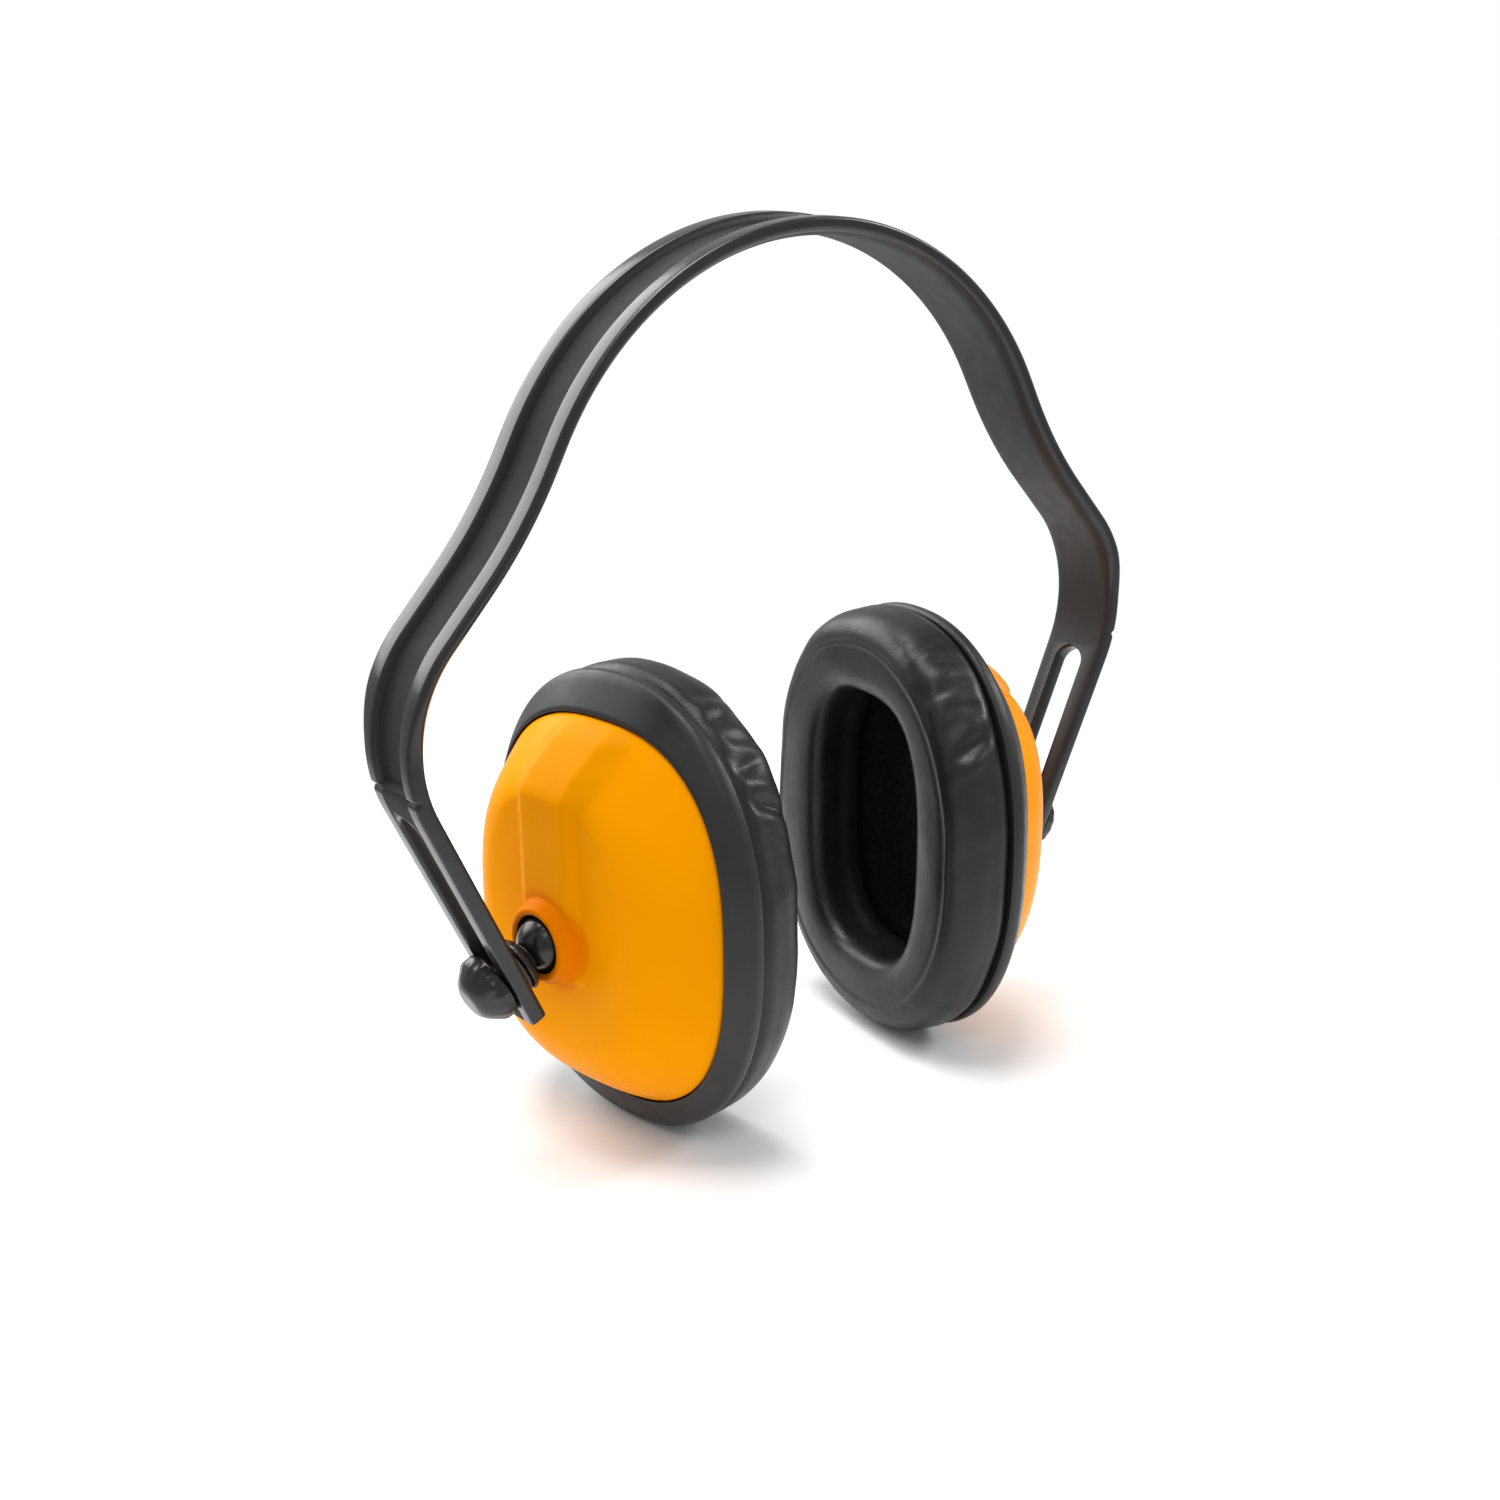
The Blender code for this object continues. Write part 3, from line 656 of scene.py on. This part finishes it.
def build_knob(label, matrix, finish):
    """Clamping knob: a rim with soft flutes, then a cone to a rounded nose."""
    base = BALL_OFFSET + BAND_THICKNESS + GAP
    bore_end = BALL_OFFSET + BAND_THICKNESS + SHANK_LENGTH + GAP
    top = base + KNOB_HEIGHT
    line = [(base, KNOB_BORE_RADIUS), (base, KNOB_RADIUS), (base + KNOB_RIM_HEIGHT, KNOB_RADIUS),
            (top - 1.0, KNOB_CONE_RADIUS), (top, KNOB_NOSE_RADIUS), (top, 0.0)]
    profile = [(bore_end, 0.0), (bore_end, KNOB_BORE_RADIUS)]
    profile += round_corners(line, (0, 0.8, 0.9, 1.2, 1.0, 0), steps=5, closed=False)[1:]

    def flutes(angles, x):
        grip = float(smoothstep(x, base + 0.6, base + 1.4) - smoothstep(x, base + 3.4, base + 4.6))
        return 1.0 - FLUTE_DEPTH * grip * (0.5 + 0.5 * np.cos(FLUTES * angles))

    knob = turned(label + "_adjuster_knob_smooth", profile, matrix, finish, count=8 * FLUTES,
                  shape=flutes)
    return add_piece(knob, label + "_slider", "band_black", label + "_adjuster_knob")


def build_washer(label, matrix, finish):
    """Flat ring between the stud's shoulder and the leg."""
    near = BALL_OFFSET - GAP - WASHER_THICKNESS
    far = BALL_OFFSET - GAP
    inner = SHANK_RADIUS + GAP
    line = [(near, inner), (near, WASHER_RADIUS), (far, WASHER_RADIUS), (far, inner)]
    profile = round_corners(line, (0.2,) * 4)
    washer = turned(label + "_friction_washer_smooth", profile, matrix, finish, closed=True)
    return add_piece(washer, label + "_slider", "inner_grey", label + "_friction_washer")


def build_bush(label, side, matrix, finish):
    """Cut sphere shell between the ball and its seat."""
    lip = math.degrees(math.acos(BUSH_TOP / BUSH_INNER_RADIUS))
    outer_lip = math.degrees(math.acos(BUSH_TOP / BUSH_OUTER_RADIUS))
    profile = (arc(BUSH_INNER_RADIUS, BUSH_BACK_ANGLE, lip, 16)
               + arc(BUSH_OUTER_RADIUS, outer_lip, BUSH_BACK_ANGLE, 16))
    profile = [(side * x, r) for x, r in profile]
    bush = turned(label + "_ball_bush_smooth", profile, matrix, finish, closed=True)
    return add_piece(bush, label + "_bush", "collar_black", label + "_ball_bush")


# ---- ear cups ----

class Cup:
    """Turns cup points (depth, y, z from the cup's centre) into the row frame."""

    def __init__(self, label, side):
        self.label = label
        self.side = side
        joint = joint_named(label + "_cup_tilt")
        self.ball = np.array(joint["pos_m"]) / MM
        self.lift = CUP_Z - self.ball[2]
        turn = math.radians(-side * TOE_ANGLE)
        self.turn = np.array([[math.cos(turn), -math.sin(turn), 0.0],
                              [math.sin(turn), math.cos(turn), 0.0], [0.0, 0.0, 1.0]])

    def place(self, depth, y, z):
        local = np.stack([self.side * (depth - SEAL_TO_BALL), y, z + self.lift], axis=-1)
        return local.reshape(-1, 3) @ self.turn.T + self.ball

    def ball_matrix(self):
        return Matrix.Translation(Vector(self.ball)) @ Matrix(self.turn.tolist()).to_4x4()

    def stud_matrix(self):
        out = Vector(joint_named(self.label + "_stud_swivel")["axis"])
        turn = Vector((1.0, 0.0, 0.0)).rotation_difference(out).to_matrix().to_4x4()
        return Matrix.Translation(Vector(self.ball)) @ turn


def dome_depth(y, z):
    """Dome with a flat outer face, full sides and a straighter slope at the top."""
    share = outline_share(y, z, BORDER_OUTLINE)
    top = smoothstep(z / BORDER_OUTLINE[1], 0.25, 0.75)
    flat = DOME_FLAT + (DOME_FLAT_TOP - DOME_FLAT) * top
    power = DOME_POWER + (DOME_POWER_TOP - DOME_POWER) * top
    fall = np.clip((share - flat) / (1.0 - flat), 0.0, 1.0) ** power
    return BORDER_DEPTH + (DOME_DEPTH - BORDER_DEPTH) * (1.0 - fall)


def rib_depth(y, z):
    """Upright rib over the boss: flat face, facets down to the border, sloping sides."""
    face = DOME_DEPTH + RIB_RISE
    heights = [RIB_BOTTOM, RIB_BOTTOM + 1.0, RIB_FACE_TOP] + [h for _, h in RIB_CREST[::-1]]
    depths = [DOME_DEPTH - 2.0, face, face] + [BORDER_DEPTH + rise for rise, _ in RIB_CREST[::-1]]
    offsets = np.linspace(-0.5, 0.5, 5)
    crest = sum(np.interp(z + d, heights, depths, left=BORDER_DEPTH - 8.0)
                for d in offsets) / len(offsets)
    return crest - smooth_max(np.abs(y) - RIB_HALF_WIDTH, 0.0, RIB_EDGE_SOFTNESS) * RIB_SIDE_SLOPE


def boss_depth(r):
    """Height of the boss round the socket, with a lip that turns in over the bush."""
    top = SEAL_TO_BALL + LIP_TOP
    line = [(LIP_RADIUS, top - 0.45), (LIP_RADIUS + 0.15, top - 0.15), (LIP_RADIUS + 0.5, top),
            (LIP_RADIUS + 1.4, top), (BOSS_RIM_RADIUS - 0.4, top - 0.9),
            (BOSS_RIM_RADIUS + 0.5, top - 2.0), (BOSS_BASE_RADIUS - 0.8, DOME_DEPTH - 0.4),
            (BOSS_BASE_RADIUS + 1.2, DOME_DEPTH - 8.0)]
    return np.interp(r, *zip(*line))


def build_shell(cup, finish):
    """One closed moulding: socket seat, boss, ribbed dome, skirt, inner wall, socket back."""
    count = SHELL_AROUND
    u = 2.0 * math.pi * np.arange(count) / count
    angle = u + RIB_CROWDING * np.sin(2.0 * u)
    direction = np.stack([np.cos(angle), np.sin(angle)], axis=1)
    edge = reach(direction, -cup.lift, BORDER_OUTLINE)
    inner_edge = reach(direction, -cup.lift, grow(BORDER_OUTLINE, -SHELL_WALL))
    rows = []

    def add_row(radius, depth):
        radius = np.broadcast_to(radius, count)
        y = direction[:, 0] * radius
        z = direction[:, 1] * radius - cup.lift
        rows.append((np.broadcast_to(depth(y, z) if callable(depth) else depth, count), y, z))

    def ribbed_dome(y, z):
        return smooth_max(dome_depth(y, z), rib_depth(y, z), RIB_ROOT_SOFTNESS)

    def bossed_dome(y, z):
        return smooth_max(ribbed_dome(y, z), boss_depth(np.hypot(y, z + cup.lift)), 0.3)

    for x, r in arc(SEAT_RADIUS, SOCKET_BACK_ANGLE, SEAT_MOUTH_ANGLE, 12):
        add_row(r, x + SEAL_TO_BALL)
    for r in np.arange(LIP_RADIUS, BOSS_ZONE_RADIUS, 0.3):
        add_row(r, bossed_dome)
    for t in np.linspace(0.0, 1.0, 86)[1:]:
        add_row(BOSS_ZONE_RADIUS + (edge - BOSS_ZONE_RADIUS) * t, ribbed_dome)
    for depth in (BORDER_DEPTH - 0.5, BORDER_DEPTH - 2.0, SKIRT_DEPTH):
        add_row(edge, depth)
    for depth in (SKIRT_DEPTH, BORDER_DEPTH - 1.5):
        add_row(inner_edge, depth)
    wall_start = SOCKET_WALL_RADIUS * math.sin(math.radians(SOCKET_WALL_ANGLE))
    for t in np.linspace(1.0, 0.0, 14)[1:]:
        add_row(wall_start + (inner_edge - wall_start) * t,
                lambda y, z: dome_depth(y * 1.05, z * 1.05) - SHELL_WALL)
    for x, r in arc(SOCKET_WALL_RADIUS, SOCKET_WALL_ANGLE + 5.0, SOCKET_BACK_ANGLE, 5):
        add_row(r, x + SEAL_TO_BALL)
    points = np.concatenate([cup.place(*row) for row in rows])
    faces = grid_faces(len(rows), count)
    poles = []
    for row, x in ((0, -SEAT_RADIUS), (len(rows) - 1, -SOCKET_WALL_RADIUS)):
        faces += pole_faces(row, count, len(points) + len(poles))
        poles.append(cup.place(np.array([x + SEAL_TO_BALL]), np.zeros(1), np.array([-cup.lift]))[0])
    points = np.concatenate([points, np.array(poles)])
    shell = make_object(cup.label + "_shell", points, faces, finish, smooth_angle=50.0)
    # painted shade: full darkening round the socket, fading out between the two radii of the fade, only
    # on the outer face and not on the inner wall
    painted_shade = np.zeros(len(points), np.float32)
    radius = np.concatenate([np.hypot(y, z + cup.lift) for _, y, z in rows])
    depth = np.concatenate([d for d, _, _ in rows])
    painted_shade[:len(radius)] = (1.0 - smoothstep(radius, *BOSS_SHADE_FADE)) * (depth > DOME_DEPTH - 2.0)
    attribute = shell.data.attributes.new("boss_painted_shade", "FLOAT", "POINT")
    attribute.data.foreach_set("value", painted_shade)
    return add_piece(shell, cup.label + "_cup", "shell_orange", cup.label + "_cup_shell")


def ring_mesh(cup, name, profile, outline_at, finish, count=224, smooth_angle=40.0):
    """Closed ring through (depth, w) points; outline_at(w) gives the outline for each."""
    rows = []
    for depth, w in profile:
        outline = superellipse(outline_at(w), count)
        rows.append(cup.place(np.full(count, depth), outline[:, 0], outline[:, 1]))
    faces = grid_faces(len(rows), count, wrap_rows=True)
    return make_object(name, np.concatenate(rows), faces, finish, smooth_angle)


def outline_between(stops, outlines):
    """A function that gives the outline at a distance inward, between the given ones."""
    columns = list(zip(*outlines))
    return lambda w: tuple(np.interp(w, stops, column) for column in columns)


def build_collar(cup, finish):
    """Bevelled ring between the shell and the cushion, with a rolled inner lip."""
    width, inside = COLLAR_BEVEL_WIDTH, COLLAR_BEVEL_WIDTH + COLLAR_SHELF_WIDTH
    outline_at = outline_between((0.0, width, inside),
                                 (COLLAR_OUTLINE, grow(BORDER_OUTLINE, GAP + 0.1), COLLAR_OPENING))
    line = [(COLLAR_FRONT, 0.7), (COLLAR_FRONT + 0.7, 0.0), (COLLAR_FRONT + 2.6, 0.15),
            (COLLAR_FRONT + 3.7, 1.2), (BORDER_DEPTH + 0.2, width - 0.9),
            (BORDER_DEPTH + 0.3, width), (SKIRT_DEPTH - GAP, width),
            (SKIRT_DEPTH - GAP, inside), (COLLAR_FRONT, inside)]
    profile = round_corners(line, (0.4, 0.5, 0.9, 0.9, 0.5, 0.3, 0.2, 0.3, 0.3), steps=5)
    collar = ring_mesh(cup, cup.label + "_collar", profile, outline_at, finish)
    return add_piece(collar, cup.label + "_cup", "collar_black", cup.label + "_collar_ring")


def build_liner(cup, finish):
    """Foam dish behind the ear hole, dimpled like cut foam."""
    outer = grow(BORDER_OUTLINE, -SHELL_WALL - LINER_CLEARANCE)
    # place along the section, depth, outline
    stops = [(0.0, LINER_RECESS, grow(LINER_HOLLOW, -20.0)),
             (1.0, LINER_RECESS, grow(LINER_HOLLOW, -5.0)),
             (1.6, LINER_FRONT + 0.6, grow(LINER_HOLLOW, -0.6)),
             (2.2, LINER_FRONT, grow(LINER_HOLLOW, 1.0)),
             (3.0, LINER_FRONT, grow(outer, -0.8)),
             (3.2, LINER_FRONT + 0.8, outer),
             (4.0, LINER_BACK - 1.4, grow(outer, -1.2)),
             (4.4, LINER_BACK, grow(outer, -4.5))]
    count = 160
    places = np.concatenate([np.linspace(0.0, 3.2, 44), [3.6, 4.0, 4.4]])
    table = np.array([[place, depth, *outline] for place, depth, outline in stops])
    rows = []
    for place in places:
        depth, a, b, p = (np.interp(place, table[:, 0], table[:, k]) for k in range(1, 5))
        outline = superellipse((a, b, p), count)
        dimple = np.array([noise.noise(Vector((y, z, depth)) * DIMPLE_SCALE) for y, z in outline])
        dimple *= DIMPLE_DEPTH * float(place < 3.0)
        rows.append(cup.place(depth + dimple, outline[:, 0], outline[:, 1]))
    faces = closed_tube(len(rows), count)
    liner = make_object(cup.label + "_liner_foam", np.concatenate(rows), faces, finish)
    return add_piece(liner, cup.label + "_cup", "foam_black", cup.label + "_foam_liner")


def build_plate(cup, finish):
    """Flat ring inside the cushion's back."""
    front = CUSHION_BACK - PLATE_THICKNESS + GAP
    edge, hole = 3.2, CUSHION_WIDTH - 1.8
    line = [(front, edge), (CUSHION_BACK, edge), (CUSHION_BACK, hole), (front, hole)]
    outline_at = outline_between((0.0, CUSHION_WIDTH), (CUSHION_OUTLINE, EAR_HOLE_OUTLINE))
    plate = ring_mesh(cup, cup.label + "_backing_plate", round_corners(line, (0.3,) * 4),
                      outline_at, finish)
    return add_piece(plate, cup.label + "_cup", "inner_grey", cup.label + "_cushion_plate")


# ---- cushions ----

def cushion_line(count):
    """Points round the cushion's section at even steps: (depth, distance in from its outline)."""
    width = CUSHION_WIDTH
    line = [(CUSHION_BACK, 0.3), (12.4, -1.5), (6.2, -1.0), (1.0, 2.6), (0.0, 9.6),
            (0.0, width - 4.2), (2.6, width - 0.1), (CUSHION_BACK, width)]
    line = np.array(round_corners(line, (0.8, 2.6, 2.6, 4.0, 3.0, 3.0, 3.0, 0.8), steps=12))
    line = np.concatenate([line, line[:1]])
    run = np.concatenate([[0.0], np.cumsum(np.hypot(*np.diff(line, axis=0).T))])
    even = np.linspace(0.0, run[-1], count, endpoint=False)
    return np.stack([np.interp(even, run, line[:, 0]), np.interp(even, run, line[:, 1])], axis=1)


def cushion_points(around, across, shrink):
    """Grid of cup points (across, around, 3): depth, y, z."""
    middle = np.array([CUSHION_BACK / 2.0, CUSHION_WIDTH / 2.0])
    rows = []
    for depth, inset in cushion_line(across):
        pull = smoothstep(CUSHION_BACK - depth, 0.5, 5.0) * shrink
        offset = np.array([depth, inset]) - middle
        length = np.linalg.norm(offset)
        depth, inset = middle + offset * (length - pull) / length
        t = inset / CUSHION_WIDTH
        outline = tuple(a + (b - a) * t for a, b in zip(CUSHION_OUTLINE, EAR_HOLE_OUTLINE))
        flat = superellipse(outline, around)
        rows.append(np.stack([np.full(around, depth), flat[:, 0], flat[:, 1]], axis=1))
    return np.array(rows)


def inflate(grid):
    """Cloth pressure on the closed ring of vinyl, its back edge held by the plate."""
    across, around, _ = grid.shape
    start = grid.reshape(-1, 3)
    cloth = make_object("cushion_cloth", start, grid_faces(across, around, wrap_rows=True), None)
    held = cloth.vertex_groups.new(name="held")
    at_plate = np.flatnonzero(start[:, 0] > CUSHION_BACK - PLATE_THICKNESS)
    held.add([int(i) for i in at_plate], 1.0, "REPLACE")
    settings = cloth.modifiers.new("vinyl", "CLOTH").settings
    settings.vertex_group_mass = "held"
    settings.use_pressure = True
    settings.uniform_pressure_force = CLOTH_PRESSURE
    settings.effector_weights.gravity = 0.0
    settings.quality = 6
    settings.tension_stiffness = 20.0
    settings.compression_stiffness = 12.0
    settings.bending_stiffness = 0.6
    for step in range(1, CLOTH_FRAMES + 1):
        bpy.context.scene.frame_set(step)
    evaluated = cloth.evaluated_get(bpy.context.evaluated_depsgraph_get())
    end = np.array([v.co for v in evaluated.data.vertices]) / MM
    bpy.data.objects.remove(cloth, do_unlink=True)
    bpy.context.scene.frame_set(1)
    move = end - start
    length = np.maximum(np.linalg.norm(move, axis=1, keepdims=True), 1e-9)
    move *= CLOTH_CAP * np.tanh(length / CLOTH_CAP) / length
    return (start + move).reshape(grid.shape)


def refine(grid, factor, axis):
    """Smooth periodic curve through the grid's rows (Catmull-Rom)."""
    count = grid.shape[axis]
    place = np.arange(count * factor) / factor
    base = place.astype(int)
    t = (place - base).reshape([-1 if k == axis else 1 for k in range(3)])
    a, b, c, d = (np.take(grid, (base + k) % count, axis=axis) for k in (-1, 0, 1, 2))
    return 0.5 * (2 * b + (c - a) * t + (2 * a - 5 * b + 4 * c - d) * t ** 2
                  + (3 * b - a - 3 * c + d) * t ** 3)


def grid_normals(grid):
    """Outward unit normals of a grid that closes both ways."""
    tangent_a = np.roll(grid, -1, axis=0) - np.roll(grid, 1, axis=0)
    tangent_b = np.roll(grid, -1, axis=1) - np.roll(grid, 1, axis=1)
    normal = np.cross(tangent_b, tangent_a)
    normal /= np.maximum(np.linalg.norm(normal, axis=2, keepdims=True), 1e-9)
    middle = grid.mean(axis=0, keepdims=True)
    if np.sum((grid - middle) * normal) < 0.0:
        normal = -normal
    return normal


def add_wrinkles(grid, seed):
    """Seam bead round the sealing face, puckers and folds on the outer wall near the top front."""
    depth, y, z = grid[..., 0], grid[..., 1], grid[..., 2]
    angle = np.degrees(np.arctan2(z / CUSHION_OUTLINE[1], -y / CUSHION_OUTLINE[0]))
    share = outline_share(y, z, CUSHION_OUTLINE)
    wall = (smoothstep(depth, 0.6, 3.0) * (1.0 - smoothstep(depth, 13.0, 15.6))
            * smoothstep(share, 0.8, 0.93))
    on_face = depth < 4.0
    height = BEAD_HEIGHT * bell(share, BEAD_SHARE, 0.011) * on_face
    height -= SEAM_DEPTH * bell(share, SEAM_SHARE, 0.014) * on_face
    for centre, width, amount, slant, place in FOLDS:
        line = centre + slant * (depth - place)
        height += amount * bell(angle, line, width) * bell(depth, place, FOLD_LENGTH) * wall
    pucker = bell(angle, PUCKER_ANGLE, PUCKER_SPREAD) * smoothstep(share, 0.86, 0.95)
    for index in np.ndindex(depth.shape):
        point = Vector(grid[index])
        fine = noise.noise(Vector((point.x * 0.09, point.y * 0.15, point.z * 0.15 + seed)))
        broad = noise.noise(Vector((point.x * 0.05, point.y * 0.055, point.z * 0.055 + 3.0 * seed)))
        height[index] += BROAD_SWELL * broad * smoothstep(share[index], 0.6, 0.8)
        height[index] += fine * (0.12 + pucker[index]) * wall[index]
    return grid + grid_normals(grid) * height[..., None]


def build_cushion(cup, grid, finish):
    """Vinyl ring round its foam: the inflated grid, refined, with its seam, folds and puckers."""
    fine = add_wrinkles(grid, WRINKLE_SEEDS[cup.label])
    points = cup.place(fine[..., 0], fine[..., 1], fine[..., 2])
    faces = grid_faces(fine.shape[0], fine.shape[1], wrap_rows=True)
    cushion = make_object(cup.label + "_cushion", points, faces, finish, smooth_angle=75.0)
    return add_piece(cushion, cup.label + "_cup", "vinyl_black", cup.label + "_cushion_cover",
                     cup.label + "_cushion_foam")


def cushion_grid():
    """The ring that both cushions share: inflated, then refined to a fine mesh."""
    grid = inflate(cushion_points(CLOTH_AROUND, CLOTH_ACROSS, CLOTH_SHRINK))
    grid[..., 0] = np.clip(grid[..., 0], 0.0, CUSHION_BACK)
    return refine(refine(grid, CLOTH_REFINE, 0), CLOTH_REFINE, 1)


# ---- floor, light and camera ----

FLOOR_RADIUS = 0.34
FLOOR_FADE = (0.14, 0.32)
FLOOR_POINTS = 96
FLOOR_Z = -0.0002


def build_floor():
    """Pale disc that takes the shadow and fades into the backdrop."""
    f = Finish("pale_floor", Specular_IOR_Level=0.1)
    f.colour(f.shades(f.noise(4.0, 2.0), (0.86, 0.86, 0.86), (0.88, 0.88, 0.88)))
    f.roughness(f.between(f.noise(30.0), 0.85, 0.95))
    f.fade(*FLOOR_FADE)
    mesh = bpy.data.meshes.new("floor")
    angles = [2.0 * math.pi * k / FLOOR_POINTS for k in range(FLOOR_POINTS)]
    rim = [(FLOOR_RADIUS * math.cos(a), FLOOR_RADIUS * math.sin(a), FLOOR_Z) for a in angles]
    mesh.from_pydata(rim, [], [tuple(range(FLOOR_POINTS))])
    mesh.materials.append(f.material)
    floor = bpy.data.objects.new("floor", mesh)
    bpy.context.scene.collection.objects.link(floor)


LIGHT_CENTRE = Vector((0.0, 0.0, 0.1))
LIGHT_DISTANCE = 1.1
WORLD_LIGHT = 0.60
# name, direction from the object, width and height in metres, radiance
SOFTBOXES = [("left_back", (-0.24, 0.84, 0.50), (1.00, 0.66), 4.5),
             ("front_left", (-0.41, -0.56, 0.71), (0.26, 0.26), 4.0),
             ("top", (-0.10, 0.10, 1.0), (0.70, 0.60), 9.8),
             ("right", (0.73, -0.34, 0.47), (0.30, 0.30), 15.0)]


def softbox(name, direction, size, radiance):
    """Area light that faces the object."""
    data = bpy.data.lights.new(name, "AREA")
    data.shape = "RECTANGLE"
    data.size, data.size_y = size
    data.energy = radiance * math.pi * size[0] * size[1]
    light = bpy.data.objects.new(name, data)
    direction = Vector(direction).normalized()
    light.location = LIGHT_CENTRE + direction * LIGHT_DISTANCE
    light.rotation_euler = (-direction).to_track_quat("-Z", "Y").to_euler()
    bpy.context.scene.collection.objects.link(light)


def build_light():
    """White studio: the backdrop shows white, and lights the object less than it shows."""
    world = bpy.data.worlds.new("studio")
    world.use_nodes = True
    tree = world.node_tree
    background = tree.nodes["Background"]
    background.inputs["Color"].default_value = (1.0, 1.0, 1.0, 1.0)
    path = tree.nodes.new("ShaderNodeLightPath")
    level = tree.nodes.new("ShaderNodeMapRange")
    level.inputs["To Min"].default_value = WORLD_LIGHT
    level.inputs["To Max"].default_value = 1.0
    tree.links.new(path.outputs["Is Camera Ray"], level.inputs["Value"])
    tree.links.new(level.outputs["Result"], background.inputs["Strength"])
    bpy.context.scene.world = world
    for box in SOFTBOXES:
        softbox(*box)
    bpy.context.scene.view_settings.view_transform = "Standard"
    bpy.context.scene.view_settings.look = "None"


CAMERA_AZIMUTH = 39.24
CAMERA_ELEVATION = 22.218
CAMERA_DISTANCE = 477.86
CAMERA_AIM = (0.0, -2.88, 50.3)
CAMERA_LENS = 48.31
CAMERA_SHIFT = (-0.0236, 0.0834)


def build_camera():
    a, e = math.radians(CAMERA_AZIMUTH), math.radians(CAMERA_ELEVATION)
    forward = Vector((math.sin(a) * math.cos(e), math.cos(a) * math.cos(e), -math.sin(e)))
    data = bpy.data.cameras.new("camera")
    data.lens = CAMERA_LENS
    data.sensor_width = 36.0
    data.shift_x, data.shift_y = CAMERA_SHIFT
    data.clip_start = 0.01
    camera = bpy.data.objects.new("camera", data)
    camera.location = (Vector(CAMERA_AIM) - forward * CAMERA_DISTANCE) * MM
    camera.rotation_euler = forward.to_track_quat("-Z", "Y").to_euler()
    bpy.context.scene.collection.objects.link(camera)
    bpy.context.scene.camera = camera


def main():
    band_black, shell_orange, collar_black = band_finish(), shell_finish(), collar_finish()
    vinyl_black, foam_black, inner_grey = vinyl_finish(), foam_finish(), grey_finish()
    build_band(band_black)
    grid = cushion_grid()
    for label, side in SIDES:
        cup = Cup(label, side)
        build_stud(label, cup.stud_matrix(), band_black)
        build_knob(label, cup.stud_matrix(), band_black)
        build_washer(label, cup.stud_matrix(), inner_grey)
        build_bush(label, side, cup.ball_matrix(), collar_black)
        build_shell(cup, shell_orange)
        build_collar(cup, collar_black)
        build_liner(cup, foam_black)
        build_plate(cup, inner_grey)
        build_cushion(cup, grid, vinyl_black)
    build_floor()
    build_light()
    build_camera()


main()
